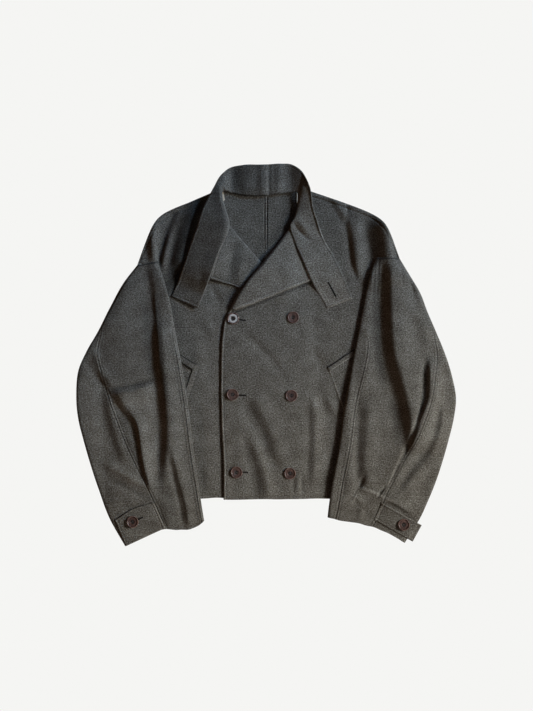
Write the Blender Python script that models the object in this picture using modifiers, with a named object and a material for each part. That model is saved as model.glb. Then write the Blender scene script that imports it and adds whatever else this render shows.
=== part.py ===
"""Cropped double-breasted wool jacket, laid flat on its back with the front up.

Metres, +Z up. +X is the wearer's left, +Y points to the collar, and the back rests on z = 0. Each cut
piece is a thin wall through sections from a short table, and each is laid on the pile of those under it.
"""
import math

import bpy
import numpy as np

# Driving dimensions
CLOTH = 0.0016          # one layer of wool cloth
DOUBLED = 0.0030        # two turned layers: collar, lapels and tabs
TRIM = 0.0012           # welts, patches and tape
SEAM = 0.0003           # gap between two pieces at a seam
EASE = 0.0005           # air between two layers that lie on each other
FRONT_AIR = 0.0020      # loose height of a front over what it lies on
SLEEVE_EDGE = 0.0040    # rounding of a sleeve's folded edge, seen from above
SEAM_LIP = 0.0020       # row of points beside a sleeve seam, so that both walls meet it square
ROLL = 0.0060           # width of a lapel's rolled edge
BUTTON_WIDTH = 0.0220
BUTTON_HEIGHT = 0.0036
BUTTON_HOLE = 0.0020
BUTTON_HOLE_SPACING = 0.0042

# The pile is a height map of everything laid so far
PILE_REACH = 0.37
PILE_CELL = 0.003
BRIDGE = 5              # cells that stiff cloth bridges beside a step
SOFTEN = 3              # cells over which a step is smoothed
SLEEVE_BRIDGE = 8       # a sleeve's tube is stiffer than a panel
SLEEVE_SOFTEN = 4
TRIM_BRIDGE = 3         # small pieces follow what they are sewn to
TRIM_SOFTEN = 2

# How finely the walls are divided: rows in each gap of a table, columns across each kind of piece
PANEL_STEPS = 3
STRIP_STEPS = 2
BACK_COLUMNS = 13
FRONT_COLUMNS = 19
LAPEL_COLUMNS = 6
COLLAR_COLUMNS = 6
POCKET_COLUMNS = 7
WELT_STEPS = 7
TAB_STEPS = 5
TRIM_COLUMNS = 3
TOP_SLEEVE_COLUMNS = 15
UNDER_SLEEVE_COLUMNS = 9
OUTER_COLUMNS = 4
ROUND_STEPS = (0.12, 0.45)      # where a rounding has points between its start and its end
FOLD_STEPS = 12

WOOL_ROUGHNESS = 0.90
HORN_ROUGHNESS = 0.35
WOOL = (0.075, 0.072, 0.066, 1.0)
WOOL_INSIDE = (0.062, 0.062, 0.060, 1.0)
HORN = (0.110, 0.060, 0.050, 1.0)
TAPE = (0.520, 0.480, 0.400, 1.0)

# Panels, hem to shoulder: x and y at the centre or front edge, x and y at the side, and how far the row
# has turned from straight into the line over the shoulder's corner
SHOULDER_PULL = 3.0
BACK_CORNER = {"left": (0.2115, 0.2466), "right": (-0.1971, 0.2502)}
FRONT_CORNER = {"left": (0.2142, 0.2493), "right": (-0.1998, 0.2529)}
BACK_LEFT = [
    (0.0000, -0.2574, 0.2322, -0.2574, 0.000),
    (0.0000, -0.1200, 0.2385, -0.1200, 0.000),
    (0.0000, -0.0189, 0.2412, -0.0189, 0.000),
    (0.0000, 0.0441, 0.2450, 0.0297, 0.000),
    (0.0000, 0.0981, 0.2628, 0.0765, 0.000),
    (0.0000, 0.1521, 0.2556, 0.1197, 0.03),
    (0.0000, 0.2151, 0.2388, 0.1600, 0.12),
    (0.0000, 0.2961, 0.2330, 0.1690, 0.45),
    (0.0612, 0.2988, 0.2394, 0.1710, 1.00),
]
BACK_RIGHT = [
    (0.0000, -0.2574, -0.2358, -0.2574, 0.000),
    (0.0000, -0.1200, -0.2420, -0.1200, 0.000),
    (0.0000, -0.0189, -0.2448, -0.0189, 0.000),
    (0.0000, 0.0441, -0.2470, 0.0297, 0.000),
    (0.0000, 0.0981, -0.2592, 0.0765, 0.000),
    (0.0000, 0.1521, -0.2502, 0.1197, 0.03),
    (0.0000, 0.2151, -0.2330, 0.1500, 0.12),
    (0.0000, 0.2961, -0.2275, 0.1585, 0.45),
    (-0.0900, 0.2900, -0.2304, 0.1602, 1.00),
]
FRONT_LEFT = [
    (-0.0765, -0.2622, 0.2340, -0.2588, 0.000),
    (-0.0765, -0.1989, 0.2376, -0.1809, 0.000),
    (-0.0801, -0.1269, 0.2412, -0.0909, 0.000),
    (-0.0814, -0.0459, 0.2430, -0.0189, 0.000),
    (-0.0792, 0.0261, 0.2412, 0.0297, 0.000),
    (-0.0700, 0.0720, 0.2196, 0.0765, 0.000),
    (-0.0372, 0.1161, 0.2034, 0.1197, 0.000),
    (-0.0002, 0.1629, 0.1989, 0.1620, 0.06),
    (0.0440, 0.2205, 0.2196, 0.1716, 0.36),
    (0.0666, 0.2988, 0.2412, 0.1712, 1.00),
]
FRONT_RIGHT = [
    (0.0666, -0.2574, -0.2376, -0.2606, 0.000),
    (0.0666, -0.1809, -0.2412, -0.1809, 0.000),
    (0.0666, -0.0909, -0.2448, -0.0909, 0.000),
    (0.0666, -0.0099, -0.2466, -0.0189, 0.000),
    (0.0600, 0.0441, -0.2448, 0.0297, 0.000),
    (0.0470, 0.0765, -0.2232, 0.0765, 0.000),
    (0.0190, 0.1197, -0.2052, 0.1197, 0.000),
    (-0.0142, 0.1620, -0.1953, 0.1600, 0.06),
    (-0.0690, 0.2260, -0.2160, 0.1618, 0.36),
    (-0.0936, 0.2898, -0.2322, 0.1602, 1.00),
]

# Lapels, neck to break point: x and y at the roll, x and y at the outer edge
LAPEL_RIGHT = [
    (-0.0648, 0.2331, -0.0711, 0.2133),
    (-0.0504, 0.2142, -0.0846, 0.1881),
    (-0.0333, 0.1946, -0.0954, 0.1611),
    (-0.0198, 0.1791, -0.1017, 0.1359),
    (-0.0072, 0.1647, -0.0864, 0.1314),
    (0.0108, 0.1395, -0.0612, 0.1242),
    (0.0306, 0.1125, -0.0252, 0.1132),
]
LAPEL_LEFT = [
    (0.0432, 0.2295, 0.0510, 0.2223),
    (0.0252, 0.2043, 0.0630, 0.1917),
    (0.0072, 0.1818, 0.0735, 0.1647),
    (-0.0090, 0.1611, 0.0819, 0.1336),
    (-0.0252, 0.1422, 0.0468, 0.1197),
    (-0.0396, 0.1233, 0.0108, 0.1049),
    (-0.0540, 0.1026, -0.0252, 0.0904),
    (-0.0639, 0.0855, -0.0540, 0.0806),
]

# Collar, right end round the neck to left end: neck x and y, edge x and y, lift at neck, lift at edge
COLLAR = [
    (-0.1224, 0.0828, -0.1710, 0.1044, 0.001, 0.003),
    (-0.1116, 0.1089, -0.1611, 0.1251, 0.001, 0.006),
    (-0.1008, 0.1359, -0.1521, 0.1485, 0.001, 0.009),
    (-0.0810, 0.1899, -0.1332, 0.2043, 0.001, 0.013),
    (-0.0702, 0.2124, -0.1233, 0.2313, 0.002, 0.014),
    (-0.0657, 0.2385, -0.1134, 0.2619, 0.003, 0.014),
    (-0.0720, 0.2637, -0.1035, 0.2826, 0.004, 0.012),
    (-0.0756, 0.2835, -0.0940, 0.3006, 0.003, 0.008),
    (-0.0720, 0.2925, -0.0823, 0.3213, 0.001, 0.005),
    (-0.0612, 0.2907, -0.0666, 0.3357, 0.000, 0.003),
    (-0.0378, 0.2862, -0.0414, 0.3415, 0.000, 0.001),
    (-0.0072, 0.2853, -0.0072, 0.3420, 0.000, 0.003),
    (0.0252, 0.2889, 0.0270, 0.3438, 0.000, 0.001),
    (0.0468, 0.2911, 0.0459, 0.3424, 0.000, 0.004),
    (0.0558, 0.2907, 0.0630, 0.3312, 0.001, 0.006),
    (0.0576, 0.2781, 0.0729, 0.3150, 0.003, 0.007),
    (0.0558, 0.2637, 0.0801, 0.2961, 0.004, 0.006),
    (0.0504, 0.2457, 0.0846, 0.2673, 0.004, 0.004),
    (0.0432, 0.2313, 0.0936, 0.2376, 0.003, 0.002),
    (0.0540, 0.1971, 0.1071, 0.2025, 0.002, 0.001),
    (0.0666, 0.1683, 0.1224, 0.1773, 0.001, 0.001),
    (0.0810, 0.1341, 0.1368, 0.1485, 0.001, 0.001),
    (0.1098, 0.0828, 0.1557, 0.1008, 0.001, 0.001),
]

# Sleeves, armhole to cuff: x and y at the outer edge, x and y at the inner edge, place of the back seam
# and of the front seam as shares of the width, loft of the upper face
SLEEVE_RIGHT = [
    (-0.2325, 0.1606, -0.1944, 0.1680, 0.00, 1.00, 0.0026),
    (-0.2565, 0.1296, -0.1836, 0.1341, 0.00, 1.00, 0.0032),
    (-0.2808, 0.0855, -0.1719, 0.0909, 0.00, 1.00, 0.0046),
    (-0.3024, 0.0423, -0.1638, 0.0441, 0.05, 0.955, 0.0070),
    (-0.3240, 0.0045, -0.1548, -0.0009, 0.12, 0.96, 0.0070),
    (-0.3384, -0.0297, -0.1485, -0.0387, 0.22, 0.965, 0.0070),
    (-0.3420, -0.0765, -0.1422, -0.0783, 0.29, 0.965, 0.0070),
    (-0.3384, -0.1161, -0.1368, -0.1179, 0.34, 0.965, 0.0070),
    (-0.3276, -0.1593, -0.1323, -0.1575, 0.38, 0.965, 0.0070),
    (-0.3150, -0.2025, -0.1269, -0.1971, 0.43, 0.965, 0.0070),
    (-0.3006, -0.2457, -0.1206, -0.2385, 0.49, 0.965, 0.0070),
    (-0.2820, -0.2952, -0.1158, -0.2709, 0.53, 0.965, 0.0070),
    (-0.2538, -0.3456, -0.1116, -0.2988, 0.52, 0.965, 0.0070),
]
SLEEVE_LEFT = [
    (0.2410, 0.1716, 0.1989, 0.1740, 0.00, 1.00, 0.0026),
    (0.2574, 0.1458, 0.1890, 0.1485, 0.00, 1.00, 0.0028),
    (0.2772, 0.1125, 0.1827, 0.1161, 0.00, 1.00, 0.0036),
    (0.2912, 0.0765, 0.1764, 0.0765, 0.00, 1.00, 0.0050),
    (0.3074, 0.0387, 0.1692, 0.0369, 0.05, 0.95, 0.0070),
    (0.3229, 0.0009, 0.1620, -0.0009, 0.09, 0.92, 0.0070),
    (0.3342, -0.0351, 0.1548, -0.0387, 0.16, 0.90, 0.0070),
    (0.3424, -0.0783, 0.1467, -0.0783, 0.22, 0.90, 0.0070),
    (0.3386, -0.1143, 0.1395, -0.1143, 0.255, 0.90, 0.0070),
    (0.3301, -0.1503, 0.1332, -0.1539, 0.30, 0.90, 0.0070),
    (0.3190, -0.1899, 0.1269, -0.1899, 0.36, 0.90, 0.0070),
    (0.3060, -0.2295, 0.1197, -0.2259, 0.41, 0.90, 0.0070),
    (0.2905, -0.2673, 0.1143, -0.2619, 0.45, 0.90, 0.0070),
    (0.2790, -0.2925, 0.1125, -0.2763, 0.445, 0.90, 0.0070),
    (0.2502, -0.3393, 0.1107, -0.2934, 0.435, 0.90, 0.0070),
]
UNDER_START = {"right": 3, "left": 4}       # section where the under sleeve begins
CUFF_REACH = 0.045                          # length over which the hem's curve fades out
CUFF_BOW = {"right": 0.001, "left": 0.007}
CUFF_SWAY = {"right": 0.008, "left": 0.002}

# Flat pieces: x and y on one long edge, x and y on the other
CUFF_TAB_RIGHT = [(-0.2016, -0.2655, -0.1809, -0.3123), (-0.2727, -0.2979, -0.2529, -0.3456)]
CUFF_TAB_LEFT = [(0.2088, -0.2664, 0.1944, -0.2979), (0.2808, -0.3078, 0.2646, -0.3375)]
POCKET_RIGHT = [
    (-0.1908, 0.0153, -0.1260, -0.0234),
    (-0.1908, -0.0279, -0.1287, -0.0315),
    (-0.1908, -0.0729, -0.1431, -0.0711),
    (-0.1908, -0.1143, -0.1584, -0.1143),
]
POCKET_LEFT = [
    (0.1908, 0.0279, 0.1116, -0.0252),
    (0.1908, -0.0189, 0.1170, -0.0387),
    (0.1908, -0.0729, 0.1296, -0.0729),
    (0.1908, -0.1179, 0.1458, -0.1179),
]
WELT_RIGHT = [(-0.1242, -0.0180, -0.1287, -0.0297), (-0.1908, 0.0225, -0.1908, 0.0099)]
WELT_LEFT = [(0.1098, -0.0234, 0.1152, -0.0306), (0.1908, 0.0315, 0.1908, 0.0207)]
NECK_TAPE_RIGHT = [(-0.0815, 0.2955, -0.0705, 0.2950), (-0.0800, 0.2740, -0.0695, 0.2760)]
NECK_TAPE_LEFT = [(0.0525, 0.2945, 0.0640, 0.2950), (0.0530, 0.2730, 0.0650, 0.2740)]

# Folds: x and y at start, middle and end, height, spread to the left and to the right of that way
SLEEVE_RIGHT_FOLDS = [
    (-0.176, 0.098, -0.155, -0.064, -0.140, -0.226, 0.0070, 0.010, 0.014),
    (-0.227, -0.082, -0.212, -0.172, -0.202, -0.244, 0.0090, 0.014, 0.007),
    (-0.223, 0.125, -0.236, 0.026, -0.245, -0.082, 0.0065, 0.014, 0.026),
    (-0.272, -0.068, -0.241, -0.066, -0.212, -0.057, 0.0030, 0.010, 0.010),
    (-0.281, -0.208, -0.241, -0.222, -0.209, -0.249, 0.0030, 0.010, 0.010),
    (-0.173, -0.197, -0.169, -0.244, -0.166, -0.289, 0.0040, 0.009, 0.009),
]
SLEEVE_LEFT_FOLDS = [
    (0.191, 0.143, 0.194, 0.026, 0.214, -0.118, 0.0060, 0.010, 0.020),
    (0.238, 0.125, 0.248, 0.008, 0.266, -0.100, 0.0080, 0.026, 0.009),
    (0.284, -0.028, 0.266, -0.127, 0.225, -0.235, 0.0070, 0.007, 0.022),
    (0.155, -0.082, 0.149, -0.172, 0.149, -0.244, 0.0060, 0.012, 0.012),
    (0.191, -0.136, 0.194, -0.190, 0.198, -0.235, 0.0030, 0.014, 0.014),
    (0.306, -0.082, 0.286, -0.172, 0.259, -0.226, 0.0030, 0.013, 0.013),
]
FRONT_LEFT_FOLDS = [
    (0.085, -0.082, 0.088, -0.163, 0.086, -0.250, 0.0035, 0.011, 0.011),
    (-0.029, -0.082, 0.004, -0.154, 0.034, -0.190, -0.0020, 0.010, 0.010),
    (-0.034, -0.154, -0.018, -0.199, -0.014, -0.260, -0.0020, 0.009, 0.009),
    (-0.018, -0.154, -0.005, -0.190, 0.007, -0.255, 0.0025, 0.010, 0.010),
    (-0.047, -0.091, -0.041, -0.154, -0.036, -0.208, 0.0015, 0.012, 0.012),
    (0.126, 0.253, 0.148, 0.206, 0.164, 0.134, -0.0020, 0.010, 0.010),
    (0.160, 0.256, 0.164, 0.197, 0.171, 0.148, 0.0045, 0.012, 0.010),
    (0.216, 0.232, 0.221, 0.197, 0.220, 0.168, 0.0045, 0.012, 0.012),
]
FRONT_RIGHT_FOLDS = [
    (-0.155, 0.258, -0.169, 0.206, -0.178, 0.125, 0.0055, 0.011, 0.010),
    (-0.198, 0.236, -0.201, 0.199, -0.196, 0.162, 0.0055, 0.011, 0.011),
    (-0.110, -0.082, -0.104, -0.172, -0.101, -0.250, 0.0015, 0.014, 0.014),
    (-0.126, 0.044, -0.119, -0.046, -0.113, -0.118, 0.0015, 0.014, 0.014),
]

# Buttons: x and y of each, in rows down the front and one on each tab
BUTTONS = {
    "button_front_1": (-0.059, 0.065),
    "button_front_2": (0.049, 0.067),
    "button_front_3": (-0.060, -0.072),
    "button_front_4": (0.046, -0.074),
    "button_front_5": (-0.053, -0.212),
    "button_front_6": (0.043, -0.214),
    "button_cuff_right": (-0.240, -0.301),
    "button_cuff_left": (0.248, -0.306),
}
# A button's section at +X, from its top middle down its outer side: share of radius, share of height
BUTTON_SECTION = [
    (0.00, 0.62),
    (0.62, 0.70),
    (0.78, 1.00),
    (0.94, 0.92),
    (1.00, 0.50),
    (0.86, 0.00),
    (0.00, 0.00),
]
BUTTON_SIDES = 16
DRILL_SIDES = 6


class Pile:
    """Height map of the pieces laid so far, so that each new one rests on them."""

    def __init__(self):
        self.cells = int(2 * PILE_REACH / PILE_CELL) + 1
        self.top = np.zeros((self.cells, self.cells))

    def places(self, value):
        return np.clip(np.rint((value + PILE_REACH) / PILE_CELL).astype(int), 0, self.cells - 1)

    def lay(self, surface):
        """Raises the map to the upper face of a piece, read finely between its points."""
        fine = np.linspace(0, 1, 7)
        for s in fine:
            rows = surface[:-1] * (1 - s) + surface[1:] * s
            for t in fine:
                point = rows[:, :-1] * (1 - t) + rows[:, 1:] * t
                spot = (self.places(point[..., 1]), self.places(point[..., 0]))
                np.maximum.at(self.top, spot, point[..., 2])

    def bed(self, x, y, bridge=BRIDGE, soften=SOFTEN):
        """Height at which a new piece rests: the map, widened at its steps and then smoothed."""
        level = self.top
        for axis in (0, 1):
            level = np.max([np.roll(level, k, axis) for k in range(-bridge, bridge + 1)], axis=0)
        for axis in (0, 1):
            level = np.mean([np.roll(level, k, axis) for k in range(-soften, soften + 1)], axis=0)
        across = np.clip((x + PILE_REACH) / PILE_CELL, 0, self.cells - 1.001)
        along = np.clip((y + PILE_REACH) / PILE_CELL, 0, self.cells - 1.001)
        i = along.astype(int)
        j = across.astype(int)
        s = along - i
        t = across - j
        near = level[i, j] * (1 - t) + level[i, j + 1] * t
        far = level[i + 1, j] * (1 - t) + level[i + 1, j + 1] * t
        rest = near * (1 - s) + far * s
        return rest + EASE * np.clip(rest / CLOTH, 0, 1)


def stations(table, steps, straight=False):
    """Reads a table at `steps` places in each gap between its rows, on a smooth or straight path."""
    rows = np.array(table, dtype=float)
    middle = (rows[:, 0:2] + rows[:, 2:4]) / 2
    gaps = np.linalg.norm(np.diff(middle, axis=0), axis=1)
    gaps += np.linalg.norm(np.diff(rows[:, 2:4], axis=0), axis=1)
    knots = np.concatenate([[0.0], np.cumsum(gaps)])
    count = len(gaps) * steps + 1
    at = np.interp(np.arange(count) / steps, np.arange(len(knots)), knots)
    if straight:
        return np.stack([np.interp(at, knots, column) for column in rows.T], axis=1)
    slope = np.gradient(rows, knots, axis=0)
    i = np.clip(np.searchsorted(knots, at, side="right") - 1, 0, len(knots) - 2)
    gap = (knots[i + 1] - knots[i])[:, None]
    t = (at - knots[i])[:, None] / gap
    start = rows[i] * (1 + 2 * t) * (1 - t) ** 2 + slope[i] * gap * t * (1 - t) ** 2
    end = rows[i + 1] * t * t * (3 - 2 * t) + slope[i + 1] * gap * t * t * (t - 1)
    return start + end


def ruled(rows, across):
    """Plan of a strip: each row runs straight from its first point to its second."""
    t = np.asarray(across)[None, :, None]
    return rows[:, None, 0:2] * (1 - t) + rows[:, None, 2:4] * t


def shouldered(rows, across, corner):
    """Plan of a panel whose last row runs over the shoulder's corner, as a conic drawn towards it."""
    first = rows[:, None, 0:2]
    second = rows[:, None, 2:4]
    turned = np.clip(rows[:, None, 4:5], 0, 1)
    middle = (first + second) / 2
    control = middle + turned * (np.array(corner) - middle[-1])
    pull = 1 + SHOULDER_PULL * turned
    t = np.asarray(across)[None, :, None]
    share = (1 - t) ** 2 + 2 * pull * t * (1 - t) + t * t
    return ((1 - t) ** 2 * first + 2 * pull * t * (1 - t) * control + t * t * second) / share


def fold_relief(x, y, folds):
    """Height that folds add: a ridge or trough along each line, fading at its ends."""
    relief = np.zeros_like(x)
    for fold in folds:
        start, middle, end = np.array(fold[:6]).reshape(3, 2)
        height, left, right = fold[6:]
        control = 2 * middle - (start + end) / 2
        t = np.linspace(0, 1, FOLD_STEPS + 1)[:, None]
        path = (1 - t) ** 2 * start + 2 * t * (1 - t) * control + t * t * end
        nearest = np.full(x.shape, np.inf)
        side = np.zeros_like(x)
        along = np.zeros_like(x)
        for k in range(FOLD_STEPS):
            step = path[k + 1] - path[k]
            reach = ((x - path[k, 0]) * step[0] + (y - path[k, 1]) * step[1]) / (step @ step)
            reach = np.clip(reach, 0, 1)
            dx = x - path[k, 0] - reach * step[0]
            dy = y - path[k, 1] - reach * step[1]
            gap = np.hypot(dx, dy)
            closer = gap < nearest
            nearest = np.where(closer, gap, nearest)
            side = np.where(closer, step[0] * dy - step[1] * dx, side)
            along = np.where(closer, (k + reach) / FOLD_STEPS, along)
        width = np.where(side > 0, left, right)
        relief += height * np.sqrt(4 * along * (1 - along)) * np.exp(-(nearest / width) ** 2)
    return relief


def skin_normals(skin, upward):
    """Unit normals of a grid of points, turned so that on the whole they point up or down."""
    normal = np.cross(np.gradient(skin, axis=1), np.gradient(skin, axis=0))
    normal /= np.linalg.norm(normal, axis=2, keepdims=True)
    return normal if (normal[..., 2].mean() > 0) == upward else -normal


def finish(name, colour, roughness):
    """Plain finish of one piece."""
    material = bpy.data.materials.new(name + "_finish")
    material.use_nodes = True
    shader = material.node_tree.nodes["Principled BSDF"]
    shader.inputs["Base Color"].default_value = colour
    shader.inputs["Roughness"].default_value = roughness
    shader.inputs["Metallic"].default_value = 0.0
    return material


def add_piece(name, mesh, colour, roughness):
    """Puts one named piece in the jacket's collection."""
    piece = bpy.data.objects.new(name, mesh)
    mesh.materials.append(finish(name, colour, roughness))
    jacket.objects.link(piece)
    return piece


def cloth_wall(name, skin, wall, colour=WOOL, upward=True, inward=False):
    """Turns a grid of points into a wall of cloth that grows from it, up by default."""
    rows, columns = skin.shape[:2]
    normal = np.cross(np.gradient(skin, axis=1), np.gradient(skin, axis=0))
    turned = (normal[..., 2].mean() > 0) != upward
    faces = []
    for i in range(rows - 1):
        for j in range(columns - 1):
            a = i * columns + j
            corners = (a, a + 1, a + columns + 1, a + columns)
            faces.append(corners[::-1] if turned else corners)
    mesh = bpy.data.meshes.new(name)
    mesh.from_pydata(skin.reshape(-1, 3).tolist(), [], faces)
    mesh.shade_smooth()
    piece = add_piece(name, mesh, colour, WOOL_ROUGHNESS)
    solid = piece.modifiers.new("cloth", "SOLIDIFY")
    solid.thickness = wall
    solid.offset = -1 if inward else 1
    return piece


def lay_sheet(name, pile, plan, wall, lift, colour=WOOL, bridge=BRIDGE, soften=SOFTEN):
    """Lays a sheet on the pile, raised by its own loft and folds, and adds it to the pile."""
    x = plan[..., 0]
    y = plan[..., 1]
    skin = np.dstack([x, y, pile.bed(x, y, bridge, soften) + lift])
    cloth_wall(name, skin, wall, colour)
    pile.lay(skin + wall * skin_normals(skin, True))
    return skin


def even(count):
    return np.linspace(0, 1, count)


def make_back(pile):
    """Two flat halves of the back, a seam's gap apart at the centre."""
    for side, table in (("left", BACK_LEFT), ("right", BACK_RIGHT)):
        across = even(BACK_COLUMNS)
        rows = stations(table, PANEL_STEPS, straight=True)
        plan = shouldered(rows, across, BACK_CORNER[side])
        half_gap = SEAM / 2 if side == "left" else -SEAM / 2
        plan[..., 0] += half_gap * (1 - across)
        skin = np.dstack([plan, np.zeros(plan.shape[:2])])
        cloth_wall("back_" + side, skin, CLOTH, WOOL_INSIDE)
        pile.lay(skin + (0, 0, CLOTH))


def make_neck_tapes(pile):
    """Ends of the tape on the back neck seam."""
    for name, table in (("neck_tape_right", NECK_TAPE_RIGHT), ("neck_tape_left", NECK_TAPE_LEFT)):
        plan = ruled(stations(table, PANEL_STEPS, straight=True), even(TRIM_COLUMNS))
        lay_sheet(name, pile, plan, TRIM, 0.0, TAPE, bridge=1, soften=1)


def make_front(side, pile, table, folds):
    """One front, lying loose on the back and on the other front, with its main folds."""
    plan = shouldered(stations(table, PANEL_STEPS), even(FRONT_COLUMNS), FRONT_CORNER[side])
    lift = FRONT_AIR + fold_relief(plan[..., 0], plan[..., 1], folds)
    lay_sheet("front_" + side, pile, plan, CLOTH, np.maximum(lift, 0))


def make_lapel(name, pile, under, table):
    """Turned-out lapel on its front; its rolled edge comes down to what lies under that front."""
    width = np.linalg.norm(np.array(table[3][2:4]) - np.array(table[3][0:2]))
    roll_places = ROLL / width * np.array([0.0, *ROUND_STEPS, 1.0])
    across = np.concatenate([roll_places, np.linspace(ROLL / width, 1, LAPEL_COLUMNS)[1:]])
    plan = ruled(stations(table, STRIP_STEPS, straight=True), across)
    x = plan[..., 0]
    y = plan[..., 1]
    top = pile.bed(x, y)
    drop = np.maximum(top - under.bed(x, y), 0)
    near = np.clip(across / roll_places[-1], 0, 1)
    dip = (1 - np.sqrt(1 - (1 - near) ** 2)) * drop
    skin = np.dstack([x, y, top - dip])
    cloth_wall(name, skin, DOUBLED)
    pile.lay(skin + DOUBLED * skin_normals(skin, True))


def make_pockets(pile):
    """Slanted pocket patches on the fronts, and the welts on their mouths."""
    for name, table in (("pocket_right", POCKET_RIGHT), ("pocket_left", POCKET_LEFT)):
        plan = ruled(stations(table, PANEL_STEPS, straight=True), even(POCKET_COLUMNS))
        lay_sheet(name, pile, plan, TRIM, 0.0, bridge=TRIM_BRIDGE, soften=TRIM_SOFTEN)
    for name, table in (("pocket_welt_right", WELT_RIGHT), ("pocket_welt_left", WELT_LEFT)):
        plan = ruled(stations(table, WELT_STEPS, straight=True), even(TRIM_COLUMNS))
        lay_sheet(name, pile, plan, TRIM, 0.0, bridge=TRIM_BRIDGE, soften=TRIM_SOFTEN)


def make_collar(pile):
    """Wide collar band: flat on the surface at the back, over the shoulders and lapels at the sides."""
    rows = stations(COLLAR, STRIP_STEPS)
    across = even(COLLAR_COLUMNS)
    plan = ruled(rows[:, 0:4], across)
    lift = rows[:, 4:5] * (1 - across) + rows[:, 5:6] * across ** 1.5
    lay_sheet("collar", pile, plan, DOUBLED, np.maximum(lift, 0), WOOL_INSIDE)


def sleeve_plan(rows, share, side):
    """Plan points of a sleeve at shares of its width, with the hem's curve at the cuff."""
    outer = rows[:, None, 0:2]
    inner = rows[:, None, 2:4]
    plan = outer * (1 - share[..., None]) + inner * share[..., None]
    chord = rows[:, 2:4] - rows[:, 0:2]
    up = np.stack([-chord[:, 1], chord[:, 0]], axis=1) / np.linalg.norm(chord, axis=1)[:, None]
    up *= np.sign(up[:, 1:2])
    middle = (rows[:, 0:2] + rows[:, 2:4]) / 2
    to_hem = np.linalg.norm(middle - middle[-1], axis=1)
    fade = np.clip(1 - to_hem / CUFF_REACH, 0, 1)[:, None] ** 2
    curve = CUFF_BOW[side] * 4 * share * (1 - share) + CUFF_SWAY[side] * np.sin(2 * math.pi * share ** 1.5)
    return plan + (fade * curve)[..., None] * up[:, None]


def sleeve_dome(rows, share):
    """How far a sleeve's face has left its folded edges: 0 on an edge, 1 past its rounding."""
    width = np.linalg.norm(rows[:, 2:4] - rows[:, 0:2], axis=1)[:, None]
    dome = np.ones_like(share)
    for gap in (share * width, (1 - share) * width):
        near = np.clip(gap / SLEEVE_EDGE, 0, 1)
        dome *= np.sqrt(1 - (1 - near) ** 2)
    return dome


def make_sleeve(side, pile, table, folds):
    """Flattened tube in two pieces: the top sleeve between the seams, the under sleeve round the rest."""
    rows = stations(table, STRIP_STEPS)
    width = np.linalg.norm(rows[:, 2:4] - rows[:, 0:2], axis=1)[:, None]
    seam = SEAM / 2 / width
    back_seam = np.clip(rows[:, 4:5], 0, 1)
    front_seam = np.clip(rows[:, 5:6], 0, 1)
    loft = rows[:, 6:7]

    def face(use, share, upper):
        part = rows[use]
        plan = sleeve_plan(part, share, side)
        x = plan[..., 0]
        y = plan[..., 1]
        dome = sleeve_dome(part, share)
        edge = loft[use] / 2
        if upper:
            relief = np.maximum(fold_relief(x, y, folds), 0) * dome
            height = edge + (loft[use] - edge) * dome + relief
        else:
            height = edge * (1 - dome)
        return np.dstack([x, y, pile.bed(x, y, SLEEVE_BRIDGE, SLEEVE_SOFTEN) + height])

    everywhere = slice(None)
    even_wave = (1 - np.cos(math.pi * even(TOP_SLEEVE_COLUMNS))) / 2
    top_share = (back_seam + seam) + (front_seam - back_seam - 2 * seam) * even_wave
    top = face(everywhere, top_share, True)

    below = slice(STRIP_STEPS * UNDER_START[side] - 1, None)
    reach = width[below]
    rounding = SLEEVE_EDGE / reach
    back = (back_seam - seam)[below]
    front = (1 - front_seam - seam)[below]
    back_turn = np.minimum(rounding, 0.75 * back)
    front_turn = np.minimum(rounding, 0.75 * front)
    back_lip = back - np.minimum(SEAM_LIP / reach, 0.1 * back)
    front_lip = front - np.minimum(SEAM_LIP / reach, 0.1 * front)
    turn_in = np.array(ROUND_STEPS)
    outer_span = back_lip + (back_turn - back_lip) * even(OUTER_COLUMNS)
    outer_face = np.hstack([back, outer_span, back_turn * turn_in[::-1], 0 * back])
    lower_span = rounding + (1 - 2 * rounding) * even(UNDER_SLEEVE_COLUMNS)
    lower_face = np.hstack([rounding * turn_in, lower_span, 1 - rounding * turn_in[::-1], 0 * back + 1])
    inner_face = 1 - np.hstack([front_turn * turn_in, front_turn, front_lip, front])
    walls = [face(below, outer_face, True), face(below, lower_face, False), face(below, inner_face, True)]
    under = np.concatenate(walls, axis=1)

    cloth_wall("sleeve_" + side + "_top", top, CLOTH, inward=True)
    cloth_wall("sleeve_" + side + "_under", under, CLOTH, upward=False, inward=True)
    pile.lay(top)
    pile.lay(walls[0])


def make_cuff_tab(name, pile, table):
    """Doubled tab on the cuff."""
    plan = ruled(stations(table, TAB_STEPS, straight=True), even(TAB_STEPS))
    lay_sheet(name, pile, plan, DOUBLED, 0.0, bridge=TRIM_BRIDGE, soften=TRIM_SOFTEN)


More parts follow.
